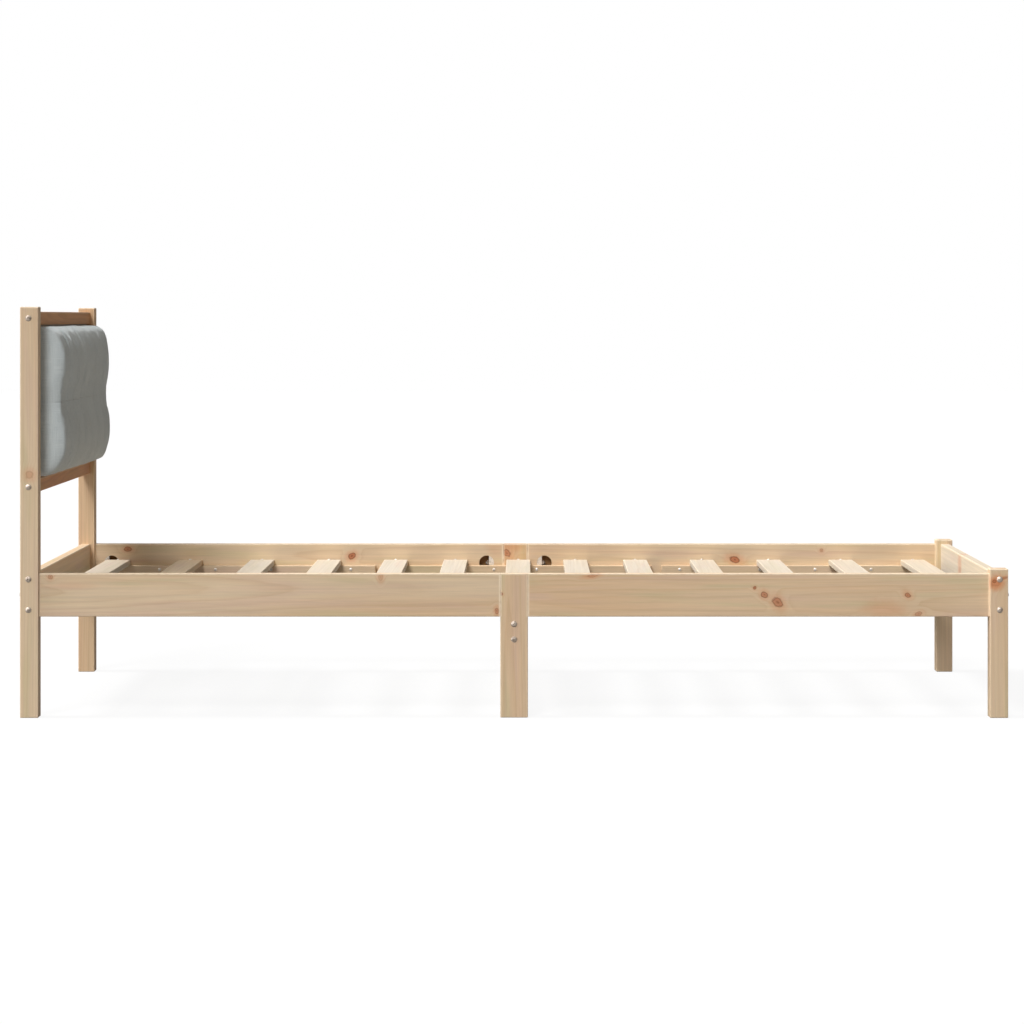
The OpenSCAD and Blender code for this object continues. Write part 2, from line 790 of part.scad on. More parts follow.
crossrail_bolts();
headboard_bolts();
crossbeam_bolts();
side_rail_bolts();
crossrail_inserts();
headboard_inserts();
crossbeam_inserts();
side_rail_inserts();
mid_leg_studs();
half_moon_washers();
side_rail_nuts();
rail_dowels();
slat_screws();
cleat_screws();
headboard_plates();
plate_screws();
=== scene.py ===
import math
import random

import bmesh
import bpy
import numpy as np
from mathutils import Matrix, Vector
from mathutils.bvhtree import BVHTree


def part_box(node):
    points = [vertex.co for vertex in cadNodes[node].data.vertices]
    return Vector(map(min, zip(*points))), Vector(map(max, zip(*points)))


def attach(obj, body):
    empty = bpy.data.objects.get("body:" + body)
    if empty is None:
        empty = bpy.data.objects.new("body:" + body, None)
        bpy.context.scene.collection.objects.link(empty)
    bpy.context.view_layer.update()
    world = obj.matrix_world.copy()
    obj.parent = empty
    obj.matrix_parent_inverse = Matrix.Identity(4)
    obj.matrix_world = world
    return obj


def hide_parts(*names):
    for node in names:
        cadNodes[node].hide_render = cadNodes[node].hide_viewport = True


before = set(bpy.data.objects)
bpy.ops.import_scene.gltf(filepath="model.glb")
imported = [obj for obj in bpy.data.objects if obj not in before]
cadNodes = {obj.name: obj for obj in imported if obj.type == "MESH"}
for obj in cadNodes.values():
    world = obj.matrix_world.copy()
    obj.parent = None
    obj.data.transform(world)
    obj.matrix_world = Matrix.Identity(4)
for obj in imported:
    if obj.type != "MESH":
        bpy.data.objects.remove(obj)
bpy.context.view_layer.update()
scene = bpy.context.scene
scene.view_settings.view_transform = "Standard"


# Working with objects

def deselect():
    bpy.ops.object.select_all(action="DESELECT")


def only(piece):
    deselect()
    piece.select_set(True)
    bpy.context.view_layer.objects.active = piece


def applyModifiers(piece):
    only(piece)
    for modifier in list(piece.modifiers):
        bpy.ops.object.modifier_apply(modifier=modifier.name)


def settle(piece):
    # Puts the object at the origin with its place in its mesh
    only(piece)
    bpy.ops.object.transform_apply(location=True, rotation=True, scale=True)


def joinPieces(pieces, name):
    deselect()
    for piece in pieces:
        piece.select_set(True)
    bpy.context.view_layer.objects.active = pieces[0]
    bpy.ops.object.join()
    joined = bpy.context.view_layer.objects.active
    joined.name = name
    joined.data.name = name
    settle(joined)
    return joined


def copyOf(piece):
    # Each copy has its own mesh
    twin = piece.copy()
    twin.data = piece.data.copy()
    scene.collection.objects.link(twin)
    return twin


def openCopy(node, merge=0.00001):
    # A free copy of a CAD node, in edit mode, all selected and with its loose triangles merged
    twin = copyOf(cadNodes[node])
    twin.parent = None
    for key in list(twin.keys()):
        del twin[key]
    only(twin)
    bpy.ops.object.mode_set(mode="EDIT")
    bpy.ops.mesh.select_all(action="SELECT")
    bpy.ops.mesh.remove_doubles(threshold=merge)
    return twin


def solidsOf(node):
    # The separate solids of a node, each as an object of its own
    openCopy(node)
    bpy.ops.mesh.separate(type="LOOSE")
    bpy.ops.object.mode_set(mode="OBJECT")
    return list(bpy.context.selected_objects)


def pickFaces(piece, wanted):
    # In edit mode: selects the faces whose normal fits
    bpy.ops.mesh.select_all(action="DESELECT")
    mesh = bmesh.from_edit_mesh(piece.data)
    for face in mesh.faces:
        if wanted(face.normal):
            face.select_set(True)
    bmesh.update_edit_mesh(piece.data)


def sliceAt(axis, place):
    # In edit mode: runs a row of edges right round the piece
    middle, way = Vector(), Vector()
    middle[axis] = place
    way[axis] = 1
    bpy.ops.mesh.select_all(action="SELECT")
    bpy.ops.mesh.bisect(plane_co=middle, plane_no=way)


def cutAway(piece, tool):
    cut = piece.modifiers.new("cut", "BOOLEAN")
    cut.operation = "DIFFERENCE"
    cut.solver = "EXACT"
    cut.object = tool
    applyModifiers(piece)
    bpy.data.objects.remove(tool)


def shadeSmooth(piece, angle=180):
    only(piece)
    if angle < 180:
        bpy.ops.object.shade_smooth_by_angle(angle=math.radians(angle))
    else:
        bpy.ops.object.shade_smooth()


def wear(piece, material):
    piece.data.materials.clear()
    piece.data.materials.append(material)


def finishPiece(piece, material, slot, *nodes):
    wear(piece, material)
    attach(piece, "root")
    if nodes:
        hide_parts(*nodes)


def readAll(items, name):
    flat = np.empty(len(items) * 3)
    items.foreach_get(name, flat)
    return flat.reshape(-1, 3)


def points(piece):
    return readAll(piece.data.vertices, "co")


def setPoints(piece, place):
    piece.data.vertices.foreach_set("co", place.ravel())
    piece.data.update()


def fade(value, low, high):
    step = np.clip((value - low) / (high - low), 0, 1)
    return step * step * (3 - 2 * step)


def fadeFrom(value, start, near, far):
    return fade(value, start + near, start + far)


def bell(distance, width):
    return np.exp(-(distance / width) ** 2)


# Working with shader nodes

def srgb(red, green, blue):
    # A colour picked on screen, 0 to 255, as the linear colour that a socket takes
    def linear(value):
        value = value / 255
        return value / 12.92 if value <= 0.04045 else ((value + 0.055) / 1.055) ** 2.4
    return (linear(red), linear(green), linear(blue), 1)


def feed(tree, value, socket):
    if isinstance(value, bpy.types.NodeSocket):
        tree.links.new(value, socket)
    else:
        socket.default_value = value


def calc(tree, operation, *values, clamp=False):
    node = tree.nodes.new("ShaderNodeMath")
    node.operation = operation
    node.use_clamp = clamp
    for socket, value in zip(node.inputs, values):
        feed(tree, value, socket)
    return node.outputs[0]


def plus(tree, first, second):
    return calc(tree, "ADD", first, second)


def minus(tree, first, second):
    return calc(tree, "SUBTRACT", first, second)


def times(tree, first, second):
    return calc(tree, "MULTIPLY", first, second)


def vectorCalc(tree, operation, *values):
    node = tree.nodes.new("ShaderNodeVectorMath")
    node.operation = operation
    for socket, value in zip(node.inputs, values):
        feed(tree, value, socket)
    return node.outputs["Value" if operation == "LENGTH" else "Vector"]


def noise(tree, vector, stretch, detail=2.0, roughness=0.5):
    node = tree.nodes.new("ShaderNodeTexNoise")
    node.inputs["Scale"].default_value = 1
    node.inputs["Detail"].default_value = detail
    node.inputs["Roughness"].default_value = roughness
    feed(tree, vectorCalc(tree, "MULTIPLY", vector, stretch), node.inputs["Vector"])
    return node.outputs["Fac"]


def span(tree, value, low, high, toLow=0.0, toHigh=1.0, smooth=True):
    node = tree.nodes.new("ShaderNodeMapRange")
    node.interpolation_type = "SMOOTHSTEP" if smooth else "LINEAR"
    for label, number in (("From Min", low), ("From Max", high), ("To Min", toLow), ("To Max", toHigh)):
        feed(tree, number, node.inputs[label])
    feed(tree, value, node.inputs["Value"])
    return node.outputs["Result"]


def mixColour(tree, factor, first, second, blend="MIX"):
    node = tree.nodes.new("ShaderNodeMix")
    node.data_type = "RGBA"
    node.blend_type = blend
    feed(tree, factor, node.inputs[0])
    feed(tree, first, node.inputs[6])
    feed(tree, second, node.inputs[7])
    return node.outputs[2]


def ramp(tree, value, stops):
    node = tree.nodes.new("ShaderNodeValToRGB")
    elements = node.color_ramp.elements
    for place, level in stops[2:]:
        elements.new(place)
    for element, (place, level) in zip(elements, stops):
        element.position = place
        element.color = (level, level, level, 1)
    feed(tree, value, node.inputs["Fac"])
    return node.outputs["Color"]


def newGroup(name, inputs, outputs):
    group = bpy.data.node_groups.new(name, "ShaderNodeTree")
    kinds = {1: "NodeSocketFloat", 3: "NodeSocketVector", 4: "NodeSocketColor"}
    for label, default in inputs.items():
        size = len(default) if isinstance(default, tuple) else 1
        socket = group.interface.new_socket(name=label, in_out="INPUT", socket_type=kinds[size])
        socket.default_value = default
    for label in outputs:
        kind = "NodeSocketColor" if label == "Color" else "NodeSocketFloat"
        group.interface.new_socket(name=label, in_out="OUTPUT", socket_type=kind)
    given = group.nodes.new("NodeGroupInput").outputs
    result = group.nodes.new("NodeGroupOutput").inputs
    return group, given, result


def useGroup(tree, group, **values):
    node = tree.nodes.new("ShaderNodeGroup")
    node.node_tree = group
    for label, value in values.items():
        feed(tree, value, node.inputs[label])
    return node.outputs


def newMaterial(name):
    material = bpy.data.materials.new(name)
    material.use_nodes = True
    tree = material.node_tree
    tree.nodes.clear()
    output = tree.nodes.new("ShaderNodeOutputMaterial")
    shader = tree.nodes.new("ShaderNodeBsdfPrincipled")
    tree.links.new(shader.outputs["BSDF"], output.inputs["Surface"])
    return material, tree, shader


def dress(tree, shader, colour, roughness, height, strength, distance):
    bump = tree.nodes.new("ShaderNodeBump")
    bump.inputs["Strength"].default_value = strength
    bump.inputs["Distance"].default_value = distance
    feed(tree, height, bump.inputs["Height"])
    feed(tree, colour, shader.inputs["Base Color"])
    feed(tree, roughness, shader.inputs["Roughness"])
    feed(tree, bump.outputs["Normal"], shader.inputs["Normal"])


def objectCoordinates(tree):
    return tree.nodes.new("ShaderNodeTexCoord").outputs["Object"]


def axesOf(tree, vector):
    node = tree.nodes.new("ShaderNodeSeparateXYZ")
    feed(tree, vector, node.inputs[0])
    return node.outputs


def swing(tree, value, amount):
    # A noise of 0 to 1 as a swing to both sides
    return times(tree, minus(tree, value, 0.5), amount)


origin = (0.0, 0.0, 0.0)


# Wood

grainForm = {
    "sway": 0.022,         # how far the rings wander along a board
    "ripple": 0.002,       # how far they wander in short waves
    "year": [(0.0, 0.25), (0.12, 0.0), (0.5, 0.12), (0.82, 0.7), (0.93, 1.0), (1.0, 0.25)],
    "faintYear": 0.45,     # the faintest late wood, as a share of the darkest
}


def buildGrain():
    # Growth rings round a pith that runs along local X, with fibres and streaks along it
    tree, given, result = newGroup(
        "Board grain", {"Vector": origin, "Seed": 0.0, "Spacing": 0.0045, "Bend": 0.0},
        ("Ring", "Fibre", "Streak", "Tone", "Cloud"))
    away = tree.nodes.new("ShaderNodeCombineXYZ")  # each board shows another part of the noise
    for socket, factor in zip(away.inputs, (3.71, 1.37, 2.23)):
        feed(tree, times(tree, given["Seed"], factor), socket)
    place = vectorCalc(tree, "ADD", given["Vector"], away.outputs[0])
    x, y, z = axesOf(tree, given["Vector"])
    square = plus(tree, calc(tree, "POWER", y, 2.0), calc(tree, "POWER", z, 2.0))
    sway = swing(tree, noise(tree, place, (1.1, 11, 11), 1.5), grainForm["sway"])
    ripple = swing(tree, noise(tree, place, (8, 80, 80)), grainForm["ripple"])
    radius = calc(tree, "SQRT", square)
    for change in (sway, ripple, given["Bend"]):
        radius = plus(tree, radius, change)
    turns = calc(tree, "DIVIDE", radius, given["Spacing"])
    late = ramp(tree, calc(tree, "FRACT", turns), grainForm["year"])
    year = tree.nodes.new("ShaderNodeTexWhiteNoise")
    year.noise_dimensions = "1D"
    feed(tree, plus(tree, calc(tree, "FLOOR", turns), given["Seed"]), year.inputs["W"])
    vary = span(tree, year.outputs["Value"], 0, 1, grainForm["faintYear"], 1.0, smooth=False)
    feed(tree, times(tree, late, vary), result["Ring"])
    feed(tree, noise(tree, place, (16, 1500, 1500), 3, 0.6), result["Fibre"])
    feed(tree, noise(tree, place, (2.4, 170, 170), 3, 0.6), result["Streak"])
    feed(tree, noise(tree, place, (0.9, 13, 13)), result["Tone"])
    elsewhere = vectorCalc(tree, "ADD", place, (7.3, 1.9, 4.7))
    feed(tree, noise(tree, elsewhere, (3.2, 34, 34)), result["Cloud"])
    return tree


knotForm = {
    "ragged": 0.55,        # how rough its outline is
    "lopsided": 0.8,       # how far it is from round
    "rings": 17.0,
    "glowReach": 3.0,      # in the knot's own size
    "bendReach": 4.5,
    "inward": 0.05,        # how deep it reaches into the board
}


def buildKnot():
    # One knot, added to those before it: a ringed body, a dark rim and a warm glow round it
    tree, given, result = newGroup("Knot", {
        "Vector": origin, "Centre": origin, "Reach": (0.005, 0.005, 0.005), "Turn": origin,
        "Swell": 0.006, "Depth": 1.0, "Glow": 1.0, "Bend": 0.0, "Core": 0.0, "Rim": 0.0, "Halo": 0.0,
    }, ("Bend", "Core", "Rim", "Halo"))
    turned = tree.nodes.new("ShaderNodeVectorRotate")
    turned.rotation_type = "EULER_XYZ"
    feed(tree, vectorCalc(tree, "SUBTRACT", given["Vector"], given["Centre"]), turned.inputs["Vector"])
    feed(tree, given["Turn"], turned.inputs["Rotation"])
    away = vectorCalc(tree, "LENGTH", vectorCalc(tree, "DIVIDE", turned.outputs[0], given["Reach"]))
    rough = noise(tree, given["Vector"], (190, 190, 190), 3)
    broad = noise(tree, given["Vector"], (75, 75, 75))
    away = plus(tree, away, swing(tree, rough, knotForm["ragged"]))
    away = plus(tree, away, swing(tree, broad, knotForm["lopsided"]))
    rings = span(tree, calc(tree, "SINE", times(tree, away, knotForm["rings"])), -1, 1, 0.72, 1.0)
    core = times(tree, span(tree, away, 0.80, 1.10, 1.0, 0.0), given["Depth"])
    core = times(tree, core, rings)
    rim = times(tree, span(tree, away, 0.55, 0.92), span(tree, away, 0.98, 1.22, 1.0, 0.0))
    pith = span(tree, away, 0.10, 0.42, 0.9, 0.0)
    dark = times(tree, calc(tree, "MAXIMUM", rim, pith), given["Depth"])
    halo = times(tree, span(tree, away, 0.7, knotForm["glowReach"], 1.0, 0.0), given["Glow"])
    bend = times(tree, span(tree, away, 0.0, knotForm["bendReach"], 1.0, 0.0), given["Swell"])
    feed(tree, plus(tree, bend, given["Bend"]), result["Bend"])
    for label, value in (("Core", core), ("Rim", dark), ("Halo", halo)):
        feed(tree, calc(tree, "MAXIMUM", value, given[label]), result[label])
    return tree


woodFinish = {
    "resin": srgb(216, 130, 74),
    "resinShare": 0.38,
    "knot": srgb(182, 106, 70),
    "knotShare": 0.88,
    "bark": srgb(104, 50, 30),
    "barkShare": 0.52,
    "gloss": 0.2,
    "bump": 0.35,
    "bumpHeight": 0.0003,
}


def buildWoodFinish():
    # Colour, roughness and height of planed, thinly lacquered softwood
    grey = srgb(200, 200, 200)
    tree, given, result = newGroup("Wood finish", {
        "Ring": 0.0, "Fibre": 0.5, "Streak": 0.5, "Tone": 0.5, "Cloud": 0.5,
        "Core": 0.0, "Rim": 0.0, "Halo": 0.0,
        "Early": grey, "Late": grey, "Warm": grey, "Rose": grey, "Moss": grey, "Contrast": 0.5,
    }, ("Color", "Roughness", "Height"))
    colour = mixColour(tree, span(tree, given["Tone"], 0.34, 0.72, 0, 0.75), given["Early"], given["Warm"])
    colour = mixColour(tree, span(tree, given["Cloud"], 0.52, 0.72, 0, 0.55), colour, given["Rose"])
    colour = mixColour(tree, span(tree, given["Cloud"], 0.48, 0.30, 0, 0.5), colour, given["Moss"])
    ringShare = times(tree, given["Ring"], given["Contrast"])
    colour = mixColour(tree, ringShare, colour, given["Late"])
    shade = plus(tree, span(tree, given["Streak"], 0.25, 0.75, 0.90, 1.06, smooth=False),
                 span(tree, given["Fibre"], 0.25, 0.75, -0.05, 0.05, smooth=False))
    colour = mixColour(tree, 1.0, colour, shade, "MULTIPLY")
    for label, stain in (("Halo", "resin"), ("Core", "knot"), ("Rim", "bark")):
        share = times(tree, given[label], woodFinish[stain + "Share"])
        colour = mixColour(tree, share, colour, woodFinish[stain])
    feed(tree, colour, result["Color"])
    rough = span(tree, given["Fibre"], 0.2, 0.8, 0.52, 0.68, smooth=False)
    rough = plus(tree, rough, times(tree, given["Ring"], -0.06))
    feed(tree, rough, result["Roughness"])
    height = times(tree, given["Fibre"], 0.6)
    height = plus(tree, height, times(tree, given["Ring"], 0.5))
    height = minus(tree, height, times(tree, given["Core"], 0.3))
    feed(tree, height, result["Height"])
    return tree


grainGroup = buildGrain()
knotGroup = buildKnot()
woodFinishGroup = buildWoodFinish()

woods = {
    "pine": {
        "Early": srgb(228, 205, 174), "Late": srgb(198, 158, 114), "Warm": srgb(222, 188, 150),
        "Rose": srgb(221, 190, 168), "Moss": srgb(208, 194, 152), "Spacing": 0.0046, "Contrast": 0.30,
    },
    "rosyPine": {
        "Early": srgb(224, 194, 158), "Late": srgb(196, 150, 104), "Warm": srgb(218, 178, 136),
        "Rose": srgb(220, 180, 152), "Moss": srgb(206, 184, 138), "Spacing": 0.0044, "Contrast": 0.32,
    },
    "palePine": {
        "Early": srgb(229, 217, 200), "Late": srgb(212, 186, 152), "Warm": srgb(224, 208, 182),
        "Rose": srgb(226, 206, 189), "Moss": srgb(219, 208, 182), "Spacing": 0.0038, "Contrast": 0.27,
    },
    "warmPine": {
        "Early": srgb(213, 158, 110), "Late": srgb(170, 110, 66), "Warm": srgb(202, 142, 92),
        "Rose": srgb(204, 142, 98), "Moss": srgb(192, 146, 92), "Spacing": 0.0036, "Contrast": 0.42,
    },
}
turnToGrain = {  # turns the board's length onto local X
    "X": (0, 0, 0),
    "Y": (0, 0, -math.pi / 2),
    "Z": (0, math.pi / 2, 0),
}
edgeForm = {
    "bored": (-0.0030, -0.0012),   # depths below the board's box between which a surface turns dark, as end grain and as painted shade
    "boredGrainAndShadeColour": srgb(168, 142, 112),
    "edgeHighlight": (-0.0042, -0.0016),   # depths between which an edge takes a pale painted highlight
    "edgeHighlightColour": srgb(246, 228, 202),
    "top": (-0.006, -0.003),       # level edges take it only at the board's top, where the light falls
    "belowRails": 0.2,             # how pale upright edges are there
    "aboveRailFoot": 0.3,
    "footStep": 0.001,             # half the height over which that changes
    "atMiddleLegs": 1.0,
    "paleness": {"cleat": 0.0, "slat": 0.4, "headboard": 0.4},
}
railFoot = float(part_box("side_rail_head_right")[0].z)


def boardEdges(tree, here, fromCentre, node):
    # Masks of the fibres that bores and pockets cut, darkened as end grain and as painted shade, and of
    # the edges' painted highlight
    form = edgeForm
    low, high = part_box(node)
    depth = vectorCalc(tree, "SUBTRACT", vectorCalc(tree, "ABSOLUTE", fromCentre), tuple((high - low) / 2))
    x, y, z = axesOf(tree, depth)
    height = axesOf(tree, here)[2]
    nearest = calc(tree, "MAXIMUM", x, y)
    bored = span(tree, calc(tree, "MAXIMUM", nearest, z), *form["bored"], 1.0, 0.0)
    above = form["atMiddleLegs" if node.startswith(("side_rail", "mid_leg")) else "aboveRailFoot"]
    step = form["footStep"]
    byHeight = span(tree, height, railFoot - step, railFoot + step, form["belowRails"], above)
    upright = span(tree, calc(tree, "MINIMUM", x, y), *form["edgeHighlight"])
    upright = times(tree, upright, byHeight)
    level = span(tree, calc(tree, "MINIMUM", nearest, z), *form["edgeHighlight"])
    onTop = span(tree, minus(tree, height, float(high.z)), *form["top"])
    edgeHighlight = calc(tree, "MAXIMUM", upright, times(tree, level, onTop))
    uneven = span(tree, noise(tree, here, (70, 70, 70)), 0.2, 0.6, 0.4, 0.8)
    edgeHighlight = times(tree, edgeHighlight, uneven)
    return bored, times(tree, edgeHighlight, form["paleness"].get(node.split("_")[0], 1.0))


def boardMaterial(node, along, wood, seed, pith, tilt, knots):
    # pith: where the tree's middle lies, across the board from its centre, in metres
    material, tree, shader = newMaterial("wood_" + node)
    tones = dict(woods[wood])
    low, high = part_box(node)
    here = objectCoordinates(tree)
    fromCentre = vectorCalc(tree, "SUBTRACT", here, tuple((low + high) / 2))
    mapping = tree.nodes.new("ShaderNodeMapping")
    feed(tree, fromCentre, mapping.inputs["Vector"])
    turn = turnToGrain[along]
    mapping.inputs["Rotation"].default_value = (turn[0], turn[1] + tilt[0], turn[2] + tilt[1])
    mapping.inputs["Location"].default_value = (0, -pith[0], -pith[1])
    marks = {"Bend": 0.0, "Core": 0.0, "Rim": 0.0, "Halo": 0.0}
    for spot in knots:
        out = useGroup(tree, knotGroup, Vector=here, **spot, **marks)
        marks = {label: out[label] for label in marks}
    grain = useGroup(tree, grainGroup, Vector=mapping.outputs[0], Seed=float(seed),
                     Spacing=tones.pop("Spacing"), Bend=marks.pop("Bend"))
    look = useGroup(tree, woodFinishGroup, **dict(grain.items()), **marks, **tones)
    bored, edgeHighlight = boardEdges(tree, here, fromCentre, node)
    # Painted highlight along the edges
    colour = mixColour(tree, edgeHighlight, look["Color"], edgeForm["edgeHighlightColour"])
    # Painted shade, with the darker end grain, inside bores and pockets
    cutFibreAndShade = mixColour(tree, 1.0, colour, edgeForm["boredGrainAndShadeColour"], "MULTIPLY")
    dress(tree, shader, mixColour(tree, bored, colour, cutFibreAndShade), look["Roughness"],
          look["Height"], woodFinish["bump"], woodFinish["bumpHeight"])
    shader.inputs["Specular IOR Level"].default_value = woodFinish["gloss"]
    return material


def knot(x, y, z, size, facing="Y", depth=1.0, long=1.0, glow=None, swell=0.006, slant=0):
    # facing: the axis that the branch ran along, so the knot reaches deep that way
    # long: how drawn out it is across that axis, slant: how far that is turned, in degrees
    reach = dict.fromkeys("XYZ", size)
    reach[facing] = knotForm["inward"]
    reach["X" if facing == "Y" else "Y"] *= long
    turn = dict.fromkeys("XYZ", 0)
    turn[facing] = math.radians(slant)
    return {"Centre": (x, y, z), "Reach": tuple(reach.values()), "Turn": tuple(turn.values()),
            "Depth": depth, "Glow": depth if glow is None else glow, "Swell": swell}


# For each board, what boardMaterial takes after the node's name
boards = {
    # Side rails, with the knots and resin streaks where the photographed boards have them
    "side_rail_head_right": ("X", "pine", 1, (-0.085, 0.012), (0.004, 0.014), [
        knot(-0.965, -0.47, 0.293, 0.0045, depth=0.5, glow=0.6),
        knot(-0.278, -0.47, 0.292, 0.007, depth=0.25, long=0.6, glow=0.7),
        knot(-0.036, -0.47, 0.222, 0.006, depth=0.6, long=0.6, glow=0.9),
        knot(-0.92, -0.47, 0.274, 0.004, depth=0.0, long=6.0, glow=0.35, swell=0.002),
    ]),
    "side_rail_foot_right": ("X", "pine", 2, (-0.075, -0.018), (-0.003, -0.013), [
        knot(0.164, -0.47, 0.296, 0.0035, depth=0.35, long=3.6, glow=1.0, slant=12),
        knot(0.501, -0.47, 0.270, 0.0034, depth=1.0, glow=0.5),
        knot(0.521, -0.47, 0.256, 0.0056, depth=0.8, long=1.3, slant=-40),
        knot(0.548, -0.47, 0.240, 0.0078, depth=0.75, long=1.5, slant=-48),
        knot(0.819, -0.47, 0.255, 0.0046, depth=0.8, long=1.5, slant=-35),
        knot(0.772, -0.47, 0.226, 0.010, depth=0.0, long=2.2, glow=0.6, swell=0.003),
        knot(0.842, -0.47, 0.216, 0.004, depth=0.5, long=1.8, slant=20),
    ]),
    "side_rail_head_left": ("X", "pine", 3, (0.06, 0.02), (0.003, 0.012), [
        knot(-0.912, 0.45, 0.287, 0.0055, depth=0.8, long=1.5),
        knot(-0.385, 0.45, 0.271, 0.0065, depth=1.0, long=1.3, slant=30),
        knot(-0.045, 0.45, 0.290, 0.010, depth=0.0, glow=0.35, swell=0.002),
    ]),
    "side_rail_foot_left": ("X", "pine", 4, (0.08, -0.01), (0.005, -0.012), [
        knot(0.517, 0.45, 0.262, 0.007, depth=1.0, long=1.8, slant=-15),
        knot(0.72, 0.45, 0.285, 0.004, depth=0.5),
    ]),
    # Posts and middle legs
    "head_post_right": ("Z", "pine", 5, (0.03, 0.05), (0.008, 0.01), [
        knot(-1.008, -0.46, 0.505, 0.008, depth=0.3, glow=0.7),
    ]),
    "head_post_left": ("Z", "rosyPine", 6, (-0.04, 0.03), (0.008, -0.01), []),
    "foot_post_right": ("Z", "pine", 7, (0.045, -0.02), (0.01, 0.008), [
        knot(1.001, -0.46, 0.281, 0.0080, depth=0.25, long=1.2, glow=2.0, slant=20),
        knot(0.999, -0.46, 0.284, 0.0032, depth=0.9, long=1.3, glow=1.6),
        knot(1.019, -0.46, 0.291, 0.0028, depth=0.6, long=3.4, glow=1.2, slant=12),
    ]),
    "foot_post_left": ("Z", "pine", 8, (-0.03, -0.045), (0.01, -0.008), []),
    "mid_leg_right": ("Z", "pine", 9, (-0.05, 0.012), (0.01, 0.02), [
        knot(-0.027, -0.46, 0.257, 0.0032, glow=0.6),
    ]),
    "mid_leg_left": ("Z", "rosyPine", 10, (0.05, -0.01), (0.012, -0.02), [
        knot(-0.020, 0.45, 0.278, 0.007, depth=0.75, long=1.3, slant=-40),
        knot(-0.010, 0.45, 0.297, 0.008, depth=0.0, long=1.6, glow=0.9),
    ]),
    "head_crossrail": ("Y", "pine", 11, (0.07, 0.01), (0.004, 0.012), []),
    "foot_crossrail": ("Y", "palePine", 12, (0.06, -0.015), (0.004, 0.012), [
        knot(1.01, 0.095, 0.272, 0.022, "X", depth=0.0, long=0.7, glow=1.0, swell=0.004),
        knot(1.01, 0.089, 0.262, 0.011, "X", depth=0.5, long=0.55, glow=1.0),
    ]),
    "mid_crossbeam": ("Y", "pine", 13, (0.05, 0.02), (0.01, 0.016), [
        knot(0.0, -0.21, 0.17, 0.006, "X", 0.8),
    ]),
    "headboard_top_rail": ("Y", "warmPine", 14, (0.05, 0.012), (0.006, 0.01), []),
    "headboard_lower_rail": ("Y", "warmPine", 15, (0.045, -0.014), (0.006, 0.012), []),
}
cleats = ("cleat_head_right", "cleat_mid_right", "cleat_foot_right",
          "cleat_head_left", "cleat_mid_left", "cleat_foot_left")
for index, node in enumerate(cleats):
    pith = (0.03 - 0.012 * index, 0.025 + 0.006 * index)
    boards[node] = ("X", "pine", 20 + index, pith, (0.006, 0.01), [])
for index in range(1, 14):
    draw = random.Random(index)
    pith = (draw.uniform(-0.03, 0.03), draw.choice((-1, 1)) * draw.uniform(0.03, 0.07))
    tilt = (draw.uniform(-0.012, 0.012), draw.uniform(0.006, 0.02))
    # the second slat takes the darker pine as painted shade, deepening the headboard's shadow on it
    boards[f"slat_{index:02d}"] = ("Y", "pine" if index == 2 else "palePine", 40 + index, pith, tilt, [])

for node, board in boards.items():
    wear(cadNodes[node], boardMaterial(node, *board))
print("wood:", len(boards), "boards")


# Plywood, beech and metal

plywoodLook = {
    "face": srgb(228, 204, 168),
    "late": srgb(204, 168, 122),
    "figure": srgb(232, 212, 180),
    "fleck": srgb(206, 176, 134),
    "glue": srgb(112, 76, 46),
    "veneer": 0.0024,      # one layer's thickness
    "rings": 15.0,
}


def makePlywood():
    # Peeled veneers: figured faces, and dark glue lines on the edges
    form = plywoodLook
    material, tree, shader = newMaterial("plywood")
    here = objectCoordinates(tree)
    wander = noise(tree, here, (1, 0.9, 5))
    figure = noise(tree, here, (1, 2, 60), 3)
    flecks = noise(tree, here, (1, 26, 620), 3, 0.6)
    rings = plus(tree, wander, times(tree, figure, 0.03))
    rings = calc(tree, "FRACT", times(tree, rings, form["rings"]))
    late = ramp(tree, rings, [(0.0, 0.5), (0.08, 0.1), (0.6, 0.0), (0.9, 0.45), (1.0, 0.5)])
    face = mixColour(tree, late, form["face"], form["late"])
    face = mixColour(tree, span(tree, figure, 0.3, 0.7, 0, 0.5), face, form["figure"])
    face = mixColour(tree, span(tree, flecks, 0.35, 0.65, 0, 0.3), face, form["fleck"])
    layer = calc(tree, "FRACT", times(tree, axesOf(tree, here)[0], 1 / form["veneer"]))
    glue = span(tree, calc(tree, "ABSOLUTE", minus(tree, layer, 0.5)), 0.34, 0.5)
    normal = tree.nodes.new("ShaderNodeNewGeometry").outputs["Normal"]
    onEdge = span(tree, calc(tree, "ABSOLUTE", axesOf(tree, normal)[0]), 0.5, 0.9, 1, 0)
    colour = mixColour(tree, times(tree, onEdge, glue), face, form["glue"])
    fibre = noise(tree, here, (40, 16, 1300), 3)
    dress(tree, shader, colour, span(tree, fibre, 0.2, 0.8, 0.5, 0.68), fibre, 0.3, 0.0003)
    return material


def makeBeech():
    material, tree, shader = newMaterial("beech")
    here = objectCoordinates(tree)
    fleck = noise(tree, here, (60, 900, 900), 3)
    colour = mixColour(tree, span(tree, fleck, 0.45, 0.62), srgb(222, 184, 140), srgb(188, 138, 92))
    dress(tree, shader, colour, span(tree, fleck, 0.3, 0.7, 0.5, 0.62), fleck, 0.2, 0.0002)
    return material


